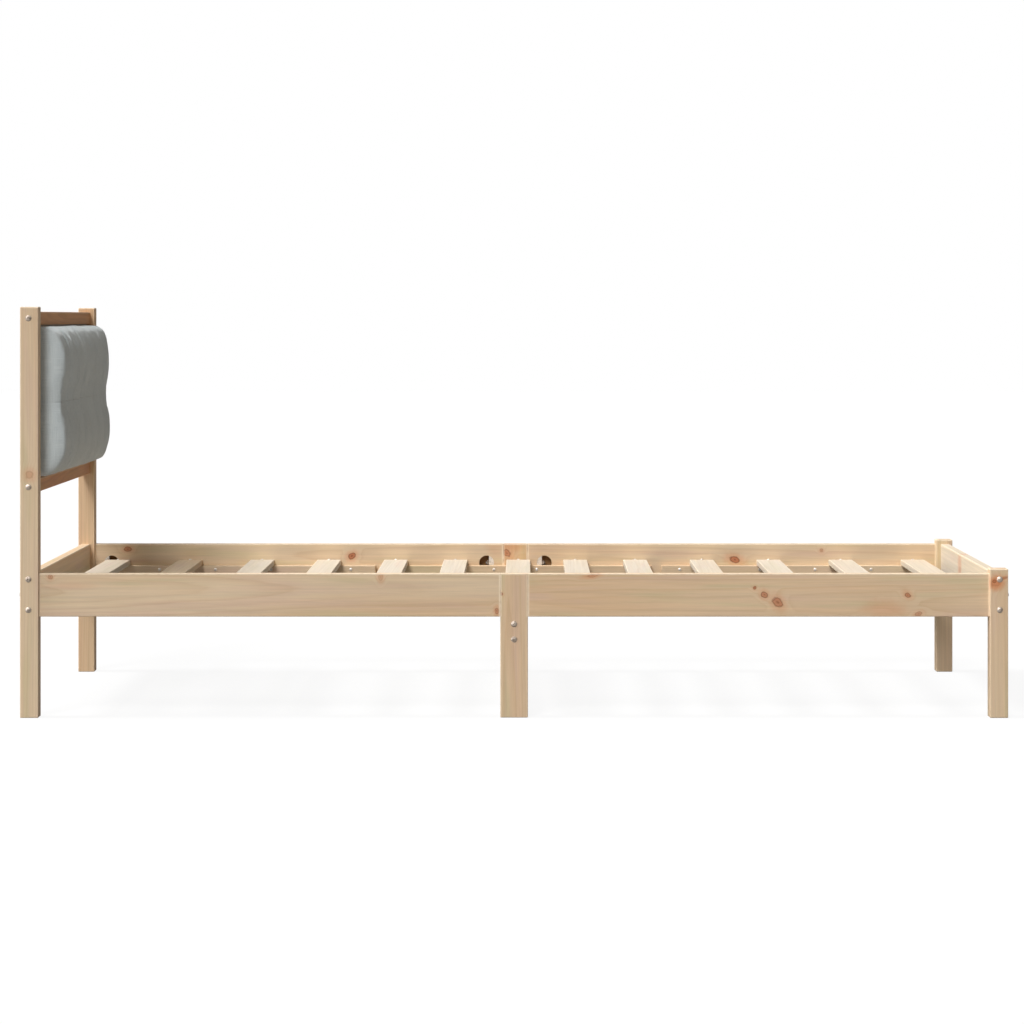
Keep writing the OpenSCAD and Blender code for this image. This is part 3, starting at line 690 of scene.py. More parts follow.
def buildMetalWear():
    # Fine tumbling scratches, dull patches and a little darkening
    tree, given, result = newGroup("Metal wear", {
        "Vector": origin, "Clean": srgb(205, 206, 208), "Dull": srgb(158, 158, 156),
        "Smooth": 0.24, "Matt": 0.42,
    }, ("Color", "Roughness", "Height"))
    patch = noise(tree, given["Vector"], (170, 170, 170), 3, 0.6)
    scratch = noise(tree, given["Vector"], (2600, 700, 700), 2, 0.7)
    dull = span(tree, patch, 0.42, 0.66)
    feed(tree, mixColour(tree, dull, given["Clean"], given["Dull"]), result["Color"])
    rough = span(tree, patch, 0.38, 0.66, given["Smooth"], given["Matt"])
    feed(tree, plus(tree, rough, span(tree, scratch, 0.4, 0.8, 0, 0.08)), result["Roughness"])
    feed(tree, scratch, result["Height"])
    return tree


metalWearGroup = buildMetalWear()
metalForm = {
    "bump": 0.12,
    "bumpHeight": 0.0001,
    "threadAlong": 0,      # the rods lie along X
    "threadPitch": 0.001,
    "threadBump": 0.8,
    "threadBumpHeight": 0.0006,
}


def makeMetal(name, clean, dull, smoothest, dullest, metallic=1.0, threaded=False):
    form = metalForm
    material, tree, shader = newMaterial(name)
    here = objectCoordinates(tree)
    look = useGroup(tree, metalWearGroup, Vector=here, Clean=clean, Dull=dull,
                    Smooth=smoothest, Matt=dullest)
    shader.inputs["Metallic"].default_value = metallic
    height, strength, distance = look["Height"], form["bump"], form["bumpHeight"]
    if threaded:
        turns = times(tree, axesOf(tree, here)[form["threadAlong"]], 1 / form["threadPitch"])
        height = ramp(tree, calc(tree, "FRACT", turns), [(0.0, 0.0), (0.5, 1.0), (1.0, 0.0)])
        strength, distance = form["threadBump"], form["threadBumpHeight"]
    dress(tree, shader, look["Color"], look["Roughness"], height, strength, distance)
    return material


# Warm grey steel, its warmth in part a painted reflection of the wood round the heads
brightSteel = makeMetal("brightSteel", srgb(196, 184, 172), srgb(154, 142, 130), 0.56, 0.68)
zincSteel = makeMetal("zincSteel", srgb(200, 199, 194), srgb(158, 156, 150), 0.32, 0.55)
paleZinc = makeMetal("paleZinc", srgb(238, 229, 218), srgb(206, 196, 184), 0.40, 0.60, metallic=0.45)
rodSteel = makeMetal("threadedSteel", srgb(190, 190, 188), srgb(146, 145, 140), 0.3, 0.5, threaded=True)
fittings = {
    "headboard_panel": makePlywood(),
    "rail_dowels": makeBeech(),
    "crossrail_bolts": brightSteel, "headboard_bolts": brightSteel,
    "crossbeam_bolts": brightSteel, "side_rail_bolts": brightSteel,
    "half_moon_washers": paleZinc, "side_rail_nuts": brightSteel,
    "crossrail_inserts": zincSteel, "headboard_inserts": zincSteel,
    "crossbeam_inserts": zincSteel, "side_rail_inserts": zincSteel,
    "mid_leg_studs": rodSteel, "headboard_plates": zincSteel,
    "slat_screws": paleZinc, "cleat_screws": paleZinc, "plate_screws": zincSteel,
}
for node, material in fittings.items():
    wear(cadNodes[node], material)
print("fittings:", len(fittings), "nodes")


# Cushion

clothLook = {
    "light": srgb(223, 231, 232),
    "dark": srgb(200, 210, 212),
    "creaseShade": srgb(128, 134, 134),
    "creaseShare": 0.6,
    "creaseDepth": 3.0,    # in the height of one thread
    "seamWide": 0.0018,
    "seamShare": 0.7,      # the seam's shade, as a share of a channel's
    "channelWide": 0.0022,
    "sewnFrom": 0.022,     # how far behind the front a sewn line's shade begins
    "sewnWhole": 0.004,    # how far behind it is whole
    "thread": 0.0011,
    "threadRise": 0.0004,
    "slub": 0.0006,        # how far a thread wanders
    "bump": 0.5,
    "gloss": 0.25,
    "sheen": 0.25,
    "sheenRough": 0.4,
    "looksAside": 0.72,    # how much a face looks aside or up to have that side's layout
    "looksUp": 0.86,
}


def buildWeave():
    # Plain weave of slubby yarns over the cloth's own U and V, in metres
    tree, given, result = newGroup("Weave", {
        "Vector": origin, "Thread": 0.0011, "Light": srgb(200, 206, 202), "Dark": srgb(160, 168, 164),
    }, ("Color", "Roughness", "Height"))
    uneven = noise(tree, given["Vector"], (160, 160, 1))
    wobble = swing(tree, uneven, clothLook["slub"])
    u, v = axesOf(tree, given["Vector"])[:2]
    across = calc(tree, "DIVIDE", plus(tree, u, wobble), given["Thread"])
    along = calc(tree, "DIVIDE", plus(tree, v, wobble), given["Thread"])
    cell = plus(tree, calc(tree, "FLOOR", across), calc(tree, "FLOOR", along))
    over = calc(tree, "ABSOLUTE", calc(tree, "MODULO", cell, 2.0))
    under = minus(tree, 1.0, over)

    def yarn(turns):
        return calc(tree, "ABSOLUTE", calc(tree, "SINE", times(tree, turns, math.pi)))

    def woven(warp, weft):
        return plus(tree, times(tree, over, warp), times(tree, under, weft))

    height = woven(yarn(across), yarn(along))
    slub = woven(noise(tree, given["Vector"], (900, 28, 1)), noise(tree, given["Vector"], (28, 900, 1)))
    colour = mixColour(tree, span(tree, slub, 0.36, 0.64), given["Dark"], given["Light"])
    cloud = noise(tree, given["Vector"], (9, 9, 1))
    shade = times(tree, span(tree, height, 0.0, 0.8, 0.74, 1.0), span(tree, cloud, 0.3, 0.7, 0.96, 1.03))
    feed(tree, mixColour(tree, 1.0, colour, shade, "MULTIPLY"), result["Color"])
    feed(tree, span(tree, height, 0, 1, 0.95, 0.78), result["Roughness"])
    feed(tree, plus(tree, height, times(tree, slub, 0.5)), result["Height"])
    return tree


weaveGroup = buildWeave()


def sewnLines(tree):
    # How near a point is to the seam or to a channel, 1 on the sewn line itself
    low, high, middle, channels = cushionLines()
    x, y, z = axesOf(tree, objectCoordinates(tree))
    step = channels[1] - channels[0]
    turns = calc(tree, "DIVIDE", minus(tree, y, float(channels[0])), step)
    toLine = minus(tree, turns, calc(tree, "ROUND", turns))
    toChannel = times(tree, calc(tree, "ABSOLUTE", toLine), step)
    within = calc(tree, "LESS_THAN", calc(tree, "ABSOLUTE", y), channels[-1] + step / 2)
    channel = times(tree, span(tree, toChannel, 0.0, clothLook["channelWide"], 1.0, 0.0), within)
    toSeam = calc(tree, "ABSOLUTE", minus(tree, z, middle))
    seam = span(tree, toSeam, 0.0, clothLook["seamWide"], clothLook["seamShare"], 0.0)
    inFront = span(tree, x, high.x - clothLook["sewnFrom"], high.x - clothLook["sewnWhole"])
    return times(tree, calc(tree, "MAXIMUM", channel, seam), inFront)


def makeCloth():
    form = clothLook
    material, tree, shader = newMaterial("greyCloth")
    uv = tree.nodes.new("ShaderNodeUVMap")
    uv.uv_map = "cloth"
    look = useGroup(tree, weaveGroup, Vector=uv.outputs[0], Thread=form["thread"],
                    Light=form["light"], Dark=form["dark"])
    sewn = sewnLines(tree)
    # Painted shade along the seam and the channels, beside their bumped creases
    shade = times(tree, sewn, form["creaseShare"])
    colour = mixColour(tree, shade, look["Color"], form["creaseShade"], "MULTIPLY")
    shader.inputs["Sheen Weight"].default_value = form["sheen"]
    shader.inputs["Sheen Roughness"].default_value = form["sheenRough"]
    shader.inputs["Specular IOR Level"].default_value = form["gloss"]
    height = minus(tree, look["Height"], times(tree, sewn, form["creaseDepth"]))
    dress(tree, shader, colour, look["Roughness"], height, form["bump"], form["threadRise"])
    return material


cushionForm = {
    "shrink": 0.0025,      # how much smaller it starts before the air goes in
    "voxel": 0.0055,
    "frames": 20,
    "cap": 0.0065,         # the furthest the air may move a point
    "columns": 7,
    "seamHold": (0.8, 0.020),      # how firmly its thread holds the cloth, and how far from it
    "channelHold": (0.6, 0.007),
    "channelFrom": 0.03,   # how far in front of the back the channels hold
    "endHold": 0.6,
    "endLook": 0.7,        # how much a face looks aside to be held as an end
    "flatBack": 0.006,     # how much of the back stays flat
    "seamDepth": 0.0004,
    "channelDepth": 0.0017,
    "creaseWidth": 0.0045,
    "seamFrom": (0.01, 0.03),      # in front of the back, where its crease begins and where it is whole
    "gatherStep": 0.0038,  # how far the cloth steps up beside a channel at the top edge
    "gatherWidth": 0.0028,
    "gatherReach": 4.5,    # how far to both sides, in its own width
    "gatherLength": 0.030,
    "gatherLean": 0.12,
    "gatherBelow": (0.004, 0.014),         # from the edge, where it begins and where it is whole
    "gatherInFront": (0.022, 0.040),       # the same, from the back
    "gathers": ((1.35, 2.4), (0.45, 1.0), (0.55, 1.1), (0.42, 0.9), (0.38, 1.0), (0.45, 0.9)),
    "smallGathers": ((0.025, 0.045, 0.0055, 0.16, 0.8), (0.065, 0.090, 0.0065, 0.13, 0.7)),
    "endGather": (0.048, 0.006, 0.16, 0.8),
    "atBottom": 0.35,      # the bottom edge's gathers, as a share of the top's
    "lumps": 26,           # soft unevenness of the foam
    "lumpRise": (-0.0007, 0.0009),
    "lumpSize": (0.02, 0.06),
    "lumpNarrow": 0.7,     # its width, as a share of its height
    "fullerEnd": 0.0105,   # how much further the right-hand end stands out
    "fullerMargin": 0.05,
    "cornerFill": 0.0085,
    "cornerWidth": 0.03,
    "topLift": 0.0024,     # the cloth is pulled up under the top rail
    "topLiftFrom": (-0.03, -0.004),        # from the top edge, where it begins and is whole
    "topLimit": 0.0026,
    "waist": 0.0020,       # how far the ends draw in along the seam
    "waistWidth": 0.028,
    "frontLook": (0.1, 0.6),       # how much a face looks forward to have creases
    "waistLook": (0.3, 0.8),       # how much it looks aside to draw in
    "farStart": 0.25,      # from the right-hand end, where the left part's own fill begins
    "farWhole": 0.10,      # from the left-hand end, where it is whole
    "farDeep": 0.6,        # the share of the depth at which it is whole
    "farWaist": (0.0017, 0.026),           # its fill at the seam, and how far from the seam
    "farLower": (0.0014, 0.025, 0.055),    # its fill, and where it begins and is whole below the seam
    "farTop": (0.0040, -0.055, -0.009),    # the same, from the top edge and from the bottom edge
    "farBottom": (0.0044, -0.039, -0.004),
}
air = {
    "quality": 6, "mass": 0.2, "air_damping": 2,
    "tension_stiffness": 18, "compression_stiffness": 18, "shear_stiffness": 6, "bending_stiffness": 0.6,
    "use_pressure": True, "uniform_pressure_force": 4.0,
    "shrink_min": -0.010,  # the cloth is cut this much larger than the foam
}


def cushionLines():
    # The cushion's box, the seam's height and the channels' places
    low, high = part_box("headboard_cushion")
    step = (high.y - low.y) / cushionForm["columns"]
    channels = [low.y + step * k for k in range(1, cushionForm["columns"])]
    return low, high, (low.z + high.z) / 2, channels


def startCushion():
    # The solid's own form, a little smaller, in even quads
    core = openCopy("headboard_cushion", 0.00002)
    core.name = "headboardCushion"
    bpy.ops.transform.shrink_fatten(value=-cushionForm["shrink"])
    bpy.ops.object.mode_set(mode="OBJECT")
    even = core.modifiers.new("even", "REMESH")
    even.mode = "VOXEL"
    even.voxel_size = cushionForm["voxel"]
    soft = core.modifiers.new("soft", "SMOOTH")
    soft.factor = 0.5
    soft.iterations = 2
    applyModifiers(core)
    return core


def holdCushion(core):
    # How firmly each place holds against the air: the back wholly, the seam, channels and ends in part
    form = cushionForm
    low, high, middle, channels = cushionLines()
    x, y, z = points(core).T
    firm, width = form["seamHold"]
    hold = firm * bell(z - middle, width)
    firm, width = form["channelHold"]
    for line in channels:
        hold = np.maximum(hold, firm * bell(y - line, width) * (x > low.x + form["channelFrom"]))
    atEnds = np.abs(readAll(core.data.vertices, "normal")[:, 1]) > form["endLook"]
    hold[atEnds] = np.maximum(hold[atEnds], form["endHold"])
    hold[x < low.x + form["flatBack"]] = 1
    hold = np.round(hold, 1)
    group = core.vertex_groups.new(name="held")
    for weight in np.unique(hold):
        group.add(np.nonzero(hold == weight)[0].tolist(), float(weight), "REPLACE")


def inflate(core):
    holdCushion(core)
    place = points(core)
    cloth = core.modifiers.new("air", "CLOTH")
    for name, value in air.items():
        setattr(cloth.settings, name, value)
    cloth.settings.effector_weights.gravity = 0
    cloth.settings.vertex_group_mass = "held"
    cloth.collision_settings.use_collision = False
    cloth.point_cache.frame_start = 1
    cloth.point_cache.frame_end = cushionForm["frames"]
    for number in range(1, cushionForm["frames"] + 1):
        scene.frame_set(number)
    applyModifiers(core)
    scene.frame_set(1)
    move = points(core) - place
    length = np.linalg.norm(move, axis=1, keepdims=True)
    share = np.minimum(1, cushionForm["cap"] / np.maximum(length, 1e-9))
    setPoints(core, place + move * share)
    core.vertex_groups.clear()


def creases(x, y, z, front):
    # Soft creases along the seam and the channels
    form = cushionForm
    low, high, middle, channels = cushionLines()
    depth = form["seamDepth"] * bell(z - middle, form["creaseWidth"])
    depth = depth * fadeFrom(x, low.x, *form["seamFrom"])
    for line in channels:
        depth = depth + form["channelDepth"] * bell(y - line, form["creaseWidth"]) * front
    return depth


def gathers(x, y, z, draw):
    # Where the channels meet the top and bottom edges, with small ones between them.
    # Each has its place, width, strength and length.
    form = cushionForm
    low, high, middle, channels = cushionLines()
    folds = []
    for line, (strength, long) in zip(channels, form["gathers"]):
        folds.append((line, form["gatherWidth"], strength, long))
        for nearest, furthest, *small in form["smallGathers"]:
            folds.append((line + draw.uniform(nearest, furthest), *small))
    folds.append((low.y + form["endGather"][0], *form["endGather"][1:]))
    rise = np.zeros(len(x))
    for edge, toward, share in ((high.z, -1, 1.0), (low.z, 1, form["atBottom"])):
        down = (z - edge) * toward
        onEdge = fade(down, *form["gatherBelow"]) * fadeFrom(x, low.x, *form["gatherInFront"])
        for at, wide, strength, long in folds:
            across = y - at - draw.uniform(-form["gatherLean"], form["gatherLean"]) * down
            step = np.tanh(across / wide) * bell(across, wide * form["gatherReach"])
            ending = np.exp(-(down / (form["gatherLength"] * long)) ** 2 / 2)
            rise += form["gatherStep"] * strength * share * step * onEdge * ending
    return rise


def lumps(y, z, draw):
    form = cushionForm
    low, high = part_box("headboard_cushion")
    rise = np.zeros(len(y))
    for count in range(form["lumps"]):
        across, up = draw.uniform(low.y, high.y), draw.uniform(low.z, high.z)
        size, swell = draw.uniform(*form["lumpSize"]), draw.uniform(*form["lumpRise"])
        rise += swell * bell(y - across, size) * bell((z - up) * form["lumpNarrow"], size)
    return rise


def stuffing(x, y, z):
    # How much further the front stands out: most at the right-hand end, at some heights at the other
    form = cushionForm
    low, high, middle = cushionLines()[:3]
    share = np.clip((x - low.x) / (high.x - low.x), 0, 1)
    margin = form["fullerMargin"]
    out = form["fullerEnd"] * share * (1 - fade(y, low.y + margin, high.y - margin))
    out += form["cornerFill"] * share ** 2 * bell(y - low.y, form["cornerWidth"])
    far = fade(y, low.y + form["farStart"], high.y - form["farWhole"])
    far = far * np.clip(share / form["farDeep"], 0, 1)
    amount, width = form["farWaist"]
    fill = amount * bell(z - middle, width)
    for name, height, start in (("farLower", -z, -middle), ("farTop", z, high.z),
                                ("farBottom", -z, -low.z)):
        amount, begins, whole = form[name]
        fill += amount * fadeFrom(height, start, begins, whole)
    return out + fill * far


def sewCushion(core):
    form = cushionForm
    low, high, middle = cushionLines()[:3]
    place, direction = points(core), readAll(core.data.vertices, "normal")
    x, y, z = place.T
    draw = random.Random(7)
    front = fade(direction[:, 0], *form["frontLook"])
    shape = gathers(x, y, z, draw) + lumps(y, z, draw) - creases(x, y, z, front)
    shaped = place + direction * shape[:, None]
    shaped[:, 0] += stuffing(x, y, z)
    lifted = shaped[:, 2] + form["topLift"] * fadeFrom(z, high.z, *form["topLiftFrom"])
    shaped[:, 2] = np.minimum(lifted, high.z + form["topLimit"])
    atEnds = fade(np.abs(direction[:, 1]), *form["waistLook"])
    shaped[:, 1] -= np.sign(y) * form["waist"] * bell(z - middle, form["waistWidth"]) * atEnds
    setPoints(core, shaped)


def layCloth(piece):
    # UV in metres, by the way that each face looks
    mesh = piece.data
    mesh.uv_layers.new(name="cloth")
    look = readAll(mesh.polygons, "normal")
    side = np.abs(look[:, 1]) > clothLook["looksAside"]
    top = np.abs(look[:, 2]) > clothLook["looksUp"]
    corner = np.empty(len(mesh.loops), int)
    mesh.loops.foreach_get("vertex_index", corner)
    face = np.repeat(np.arange(len(mesh.polygons)), [polygon.loop_total for polygon in mesh.polygons])
    place = points(piece)[corner]
    u = np.where(side[face], place[:, 0], place[:, 1])
    v = np.where(top[face], place[:, 0], place[:, 2])
    mesh.uv_layers["cloth"].data.foreach_set("uv", np.column_stack([u, v]).ravel())


def makeCushion():
    core = startCushion()
    inflate(core)
    fine = core.modifiers.new("fine", "SUBSURF")
    fine.levels = 1
    fine.render_levels = 1
    applyModifiers(core)
    sewCushion(core)
    layCloth(core)
    shadeSmooth(core)
    finishPiece(core, greyCloth, "grey_fabric", "headboard_cushion")
    print("cushion:", len(core.data.vertices), "points")
    return core


greyCloth = makeCloth()
cushion = makeCushion()


# Stitches

stitchForm = {
    "length": 0.0042,
    "pitch": 0.0062,
    "thickness": 0.0009,
    "rise": 0.0002,        # how far the thread's middle stands above the cloth
    "sink": 0.8,           # how deep its ends lie in the cloth, in its thickness
    "endTaper": 0.35,
    "bends": (-0.3, 0.0, 0.3),     # shares of its length
    "endMargin": 0.034,    # where the rows stop short of the cushion's edges
    "seamMargin": 0.004,
    "light": srgb(240, 244, 243),
    "dark": srgb(206, 212, 212),
}


def makeThread():
    # Twisted thread, a shade lighter than the cloth
    material, tree, shader = newMaterial("thread")
    twist = noise(tree, objectCoordinates(tree), (2400, 2400, 2400), 2, 0.6)
    colour = mixColour(tree, span(tree, twist, 0.3, 0.7), stitchForm["dark"], stitchForm["light"])
    dress(tree, shader, colour, span(tree, twist, 0.3, 0.7, 0.6, 0.8), twist, 0.4, 0.0002)
    return material


def modelStitch():
    # One stitch along Z that bows out towards X and dips into the cloth at both ends
    form = stitchForm
    deselect()
    bpy.ops.mesh.primitive_cylinder_add(vertices=6, radius=form["thickness"] / 2, depth=form["length"])
    stitch = bpy.context.active_object
    bpy.ops.object.mode_set(mode="EDIT")
    for share in form["bends"]:
        sliceAt(2, share * form["length"])
    bpy.ops.object.mode_set(mode="OBJECT")
    place = points(stitch)
    along = np.clip(np.abs(place[:, 2]) / (form["length"] / 2), 0, 1)
    place[:, :2] *= (1 - form["endTaper"] * along ** 3)[:, None]
    place[:, 0] += form["rise"] - (form["rise"] + form["thickness"] * form["sink"]) * along ** 2
    setPoints(stitch, place)
    return stitch


def sewRow(stitch, surface, first, last):
    # A row of stitches between two points, carried back along X onto the cushion's front
    form = stitchForm
    first, last = Vector(first), Vector(last)
    count = int((last - first).length / form["pitch"])
    half = (last - first).normalized() * form["length"] / 2
    row = []
    for index in range(count):
        spot = first.lerp(last, (index + 0.5) / count) + Vector((0.2, 0, 0))
        start, startWay = surface.ray_cast(spot - half, Vector((-1, 0, 0)))[:2]
        end, endWay = surface.ray_cast(spot + half, Vector((-1, 0, 0)))[:2]
        if start is None or end is None:
            continue
        along = (end - start).normalized()
        out = (startWay + endWay).normalized()
        out = (out - along * out.dot(along)).normalized()
        turn = Matrix((out, along.cross(out), along)).transposed().to_4x4()
        twin = copyOf(stitch)
        twin.matrix_world = Matrix.Translation((start + end) / 2) @ turn
        row.append(twin)
    return row


def makeStitches():
    low, high, middle, channels = cushionLines()
    margin, gap = stitchForm["endMargin"], stitchForm["seamMargin"]
    surface = BVHTree.FromObject(cushion, bpy.context.evaluated_depsgraph_get())
    stitch = modelStitch()
    stitches = sewRow(stitch, surface, (0, low.y + margin, middle), (0, high.y - margin, middle))
    for line in channels:
        for bottom, top in ((low.z + margin, middle - gap), (middle + gap, high.z - margin)):
            stitches += sewRow(stitch, surface, (0, line, bottom), (0, line, top))
    bpy.data.objects.remove(stitch)
    sewn = joinPieces(stitches, "cushionStitches")
    shadeSmooth(sewn)
    finishPiece(sewn, makeThread(), "grey_fabric")
    print("stitches:", len(stitches))


makeStitches()


# The cloth is folded round the panel's edges and stapled to its back

hemForm = {
    "thick": 0.0011,
    "wide": 0.030,
    "clear": 0.0001,       # between the cloth and the panel
    "underCushion": 0.0004,
    "pieceLength": 0.012,  # the cut edge bends every so far
    "ragged": 0.0009,
    "calmCorner": 0.0020,  # how near its corners the cut edge stays straight
    "aroundPlate": 0.0020,
    "pastPlate": 0.0060,   # the cut is open towards the panel's middle
    "cutDeep": 0.0104,
    "cutInto": 0.0002,     # how far the cut goes past the panel's back
    "soft": 0.0004,
    "staplePitch": 0.042,
    "stapleIn": 0.45,      # how far in the staples sit, as a share of the hem's width
    "stapleWide": 0.0100,
    "stapleWire": 0.0007,
    "stapleTall": 1.4,     # these three in the wire's thickness
    "stapleBite": 0.9,
    "stapleRound": 0.25,
    "stapleBend": 0.36,    # from its middle, as a share of its width
    "stapleTurn": 14,      # at most, in degrees
    "stapleNudge": (0.003, 0.002),
    "plateClear": (0.009, 0.004),
}


def panelSides():
    # The panel's two directions across its back, each with its ends
    low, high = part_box("headboard_panel")
    return ((1, low.y, high.y), (2, low.z, high.z))


def foldHem():
    # A shell round the panel's edges, open in front and within the hem
    form = hemForm
    low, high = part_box("headboard_panel")
    outside = Vector((1, 1, 1)) * (form["thick"] + form["clear"])
    start, end = low - outside, high + outside
    end.x = high.x - form["underCushion"]
    deselect()
    bpy.ops.mesh.primitive_cube_add(size=1, location=(start + end) / 2, scale=end - start)
    hem = bpy.context.active_object
    hem.name = "clothHem"
    settle(hem)
    bpy.ops.object.mode_set(mode="EDIT")
    pickFaces(hem, lambda look: look.x > 0.5)
    bpy.ops.mesh.delete(type="FACE")
    pickFaces(hem, lambda look: look.x < -0.5)
    bpy.ops.mesh.inset(thickness=form["wide"])
    bpy.ops.mesh.delete(type="FACE")
    for axis, first, last in panelSides():
        count = int((last - first) / form["pieceLength"])
        for cut in range(1, count):
            sliceAt(axis, first + (last - first) * cut / count)
    bpy.ops.object.mode_set(mode="OBJECT")
    return hem


def roughenHem(hem):
    # The cut edge is uneven
    form = hemForm
    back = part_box("headboard_panel")[0].x
    inner = form["wide"] - form["thick"] - form["clear"]
    sides = panelSides()
    draw = random.Random(5)
    place = points(hem)
    for index, spot in enumerate(place):
        if spot[0] > back:
            continue
        for axis, first, last in sides:
            other, start, end = sides[2 - axis]
            fromCorner = min(spot[other] - start, end - spot[other])
            for edge in (first + inner, last - inner):
                if abs(spot[axis] - edge) < 0.0005 and fromCorner > inner + form["calmCorner"]:
                    place[index, axis] += draw.uniform(-1, 1) * form["ragged"]
    setPoints(hem, place)


def plateBoxes():
    boxes = []
    for plate in solidsOf("headboard_plates"):
        place = points(plate)
        boxes.append((Vector(place.min(axis=0)), Vector(place.max(axis=0))))
        bpy.data.objects.remove(plate)
    boxes.sort(key=lambda box: tuple(round(value, 4) for value in box[0]))
    return boxes


def makeHem():
    form = hemForm
    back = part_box("headboard_panel")[0].x
    hem = foldHem()
    roughenHem(hem)
    body = hem.modifiers.new("body", "SOLIDIFY")
    body.thickness = form["thick"]
    body.offset = -1
    applyModifiers(hem)
    cutters = []
    for start, end in plateBoxes():
        room = Vector((0, form["aroundPlate"], form["aroundPlate"] + form["pastPlate"]))
        size = end - start + 2 * room
        size.x = form["cutDeep"]
        middle = (start + end) / 2
        middle.x = back + form["cutInto"] - form["cutDeep"] / 2
        deselect()
        bpy.ops.mesh.primitive_cube_add(size=1, location=middle, scale=size)
        cutters.append(bpy.context.active_object)
    cutAway(hem, joinPieces(cutters, "hemCutter"))
    soft = hem.modifiers.new("soft", "BEVEL")
    soft.width = form["soft"]
    soft.segments = 2
    soft.limit_method = "ANGLE"
    soft.angle_limit = math.radians(60)
    applyModifiers(hem)
    layCloth(hem)
    shadeSmooth(hem, 40)
    finishPiece(hem, greyCloth, "grey_fabric")


def modelStaple(out):
    # A crown of flat wire with its ends bent into the cloth, lying along Y and facing -X
    form = hemForm
    wire, wide = form["stapleWire"], form["stapleWide"]
    size = (wire, wide, wire * form["stapleTall"])
    deselect()
    bpy.ops.mesh.primitive_cube_add(size=1, location=(out - wire / 2, 0, 0), scale=size)
    staple = bpy.context.active_object
    settle(staple)
    bpy.ops.object.mode_set(mode="EDIT")
    for side in (-1, 1):
        sliceAt(1, side * form["stapleBend"] * wide)
    bpy.ops.object.mode_set(mode="OBJECT")
    place = points(staple)
    ends = np.abs(place[:, 1]) > 0.49 * wide
    place[ends, 0] += wire * form["stapleBite"]
    setPoints(staple, place)
    soft = staple.modifiers.new("soft", "BEVEL")
    soft.width = wire * form["stapleRound"]
    soft.segments = 1
    applyModifiers(staple)
    return staple


def stapleSpots():
    # Along the two long edges with their corners, then up the two short ones between them
    form = hemForm
    low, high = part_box("headboard_panel")
    inset = form["wide"] * form["stapleIn"]
    wide, tall = high.y - low.y - 2 * inset, high.z - low.z - 2 * inset
    across, up = int(wide / form["staplePitch"]), int(tall / form["staplePitch"])
    spots = []
    for edge in (low.z + inset, high.z - inset):
        spots += [(low.y + inset + wide * step / across, edge, 0) for step in range(across + 1)]
    for edge in (low.y + inset, high.y - inset):
        spots += [(edge, low.z + inset + tall * step / up, 90) for step in range(1, up)]
    return spots


def makeStaples():
    form = hemForm
    low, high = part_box("headboard_panel")
    plates = plateBoxes()
    staple = modelStaple(low.x - form["thick"] - form["clear"])
    beside, above = form["plateClear"]
    aside, upward = form["stapleNudge"]
    draw = random.Random(11)
    placed = []
    for along, up, turn in stapleSpots():
        if any(start.y - beside < along < end.y + beside and start.z - above < up < end.z + above
               for start, end in plates):
            continue  # a plate is in the way
        twin = copyOf(staple)
        angle = math.radians(turn + draw.uniform(-form["stapleTurn"], form["stapleTurn"]))
        spot = Vector((0, along + draw.uniform(-aside, aside), up + draw.uniform(-upward, upward)))
        twin.matrix_world = Matrix.Translation(spot) @ Matrix.Rotation(angle, 4, "X")
        placed.append(twin)
    bpy.data.objects.remove(staple)
    row = joinPieces(placed, "hemStaples")
    shadeSmooth(row, 40)
    finishPiece(row, zincSteel, "zinc_steel")
    print("hem and staples:", len(placed))


makeHem()
makeStaples()


# Cross recesses in the screws' heads

crossForm = {
    "reach": 0.52,         # shares of the head's diameter
    "width": 0.15,
    "depth": 0.0015,
    "taper": 0.45,
}


def modelCross(diameter):
    # A cross that narrows downwards, with its top at z = 0
    wide = diameter * crossForm["width"]
    deselect()
    bpy.ops.mesh.primitive_cube_add(size=wide)
    cross = bpy.context.active_object
    bpy.ops.object.mode_set(mode="EDIT")
    pickFaces(cross, lambda look: abs(look.z) < 0.5)
    bpy.ops.mesh.extrude_faces_move(
        TRANSFORM_OT_shrink_fatten={"value": (diameter * crossForm["reach"] - wide) / 2})
    bpy.ops.object.mode_set(mode="OBJECT")
    place = points(cross)
    deep = place[:, 2] < 0
    place[deep, :2] *= crossForm["taper"]
    place[:, 2] = np.where(deep, -crossForm["depth"], crossForm["depth"])
    setPoints(cross, place)
    return cross


def cutCrosses(node, name, facing, material):
    # facing: gives the way that a head looks from the screw's middle
    screws = solidsOf(node)
    screws.sort(key=lambda screw: tuple(points(screw).mean(axis=0).round(4)))
    draw = random.Random(len(screws))
    cutters = []
    cross = None
    for screw in screws:
        place = points(screw)
        least, most = place.min(axis=0), place.max(axis=0)
        middle = (least + most) / 2
        way = Vector(facing(middle))
        if cross is None:
            across = [axis for axis in range(3) if abs(way[axis]) < 0.5]
            cross = modelCross(float((most - least)[across[0]]))
        head = Vector(middle + (most - least) / 2 * np.array(way))
        turn = way.to_track_quat("Z", "Y").to_matrix().to_4x4()
        spin = Matrix.Rotation(draw.uniform(0, math.pi / 2), 4, "Z")
        cutter = copyOf(cross)
        cutter.matrix_world = Matrix.Translation(head) @ turn @ spin
        cutters.append(cutter)
    bpy.data.objects.remove(cross)
    tool = joinPieces(cutters, name + "Cutter")
    piece = joinPieces(screws, name)
    cutAway(piece, tool)
    shadeSmooth(piece, 35)
    finishPiece(piece, material, "zinc_steel", node)
    print("crosses:", node, len(screws))


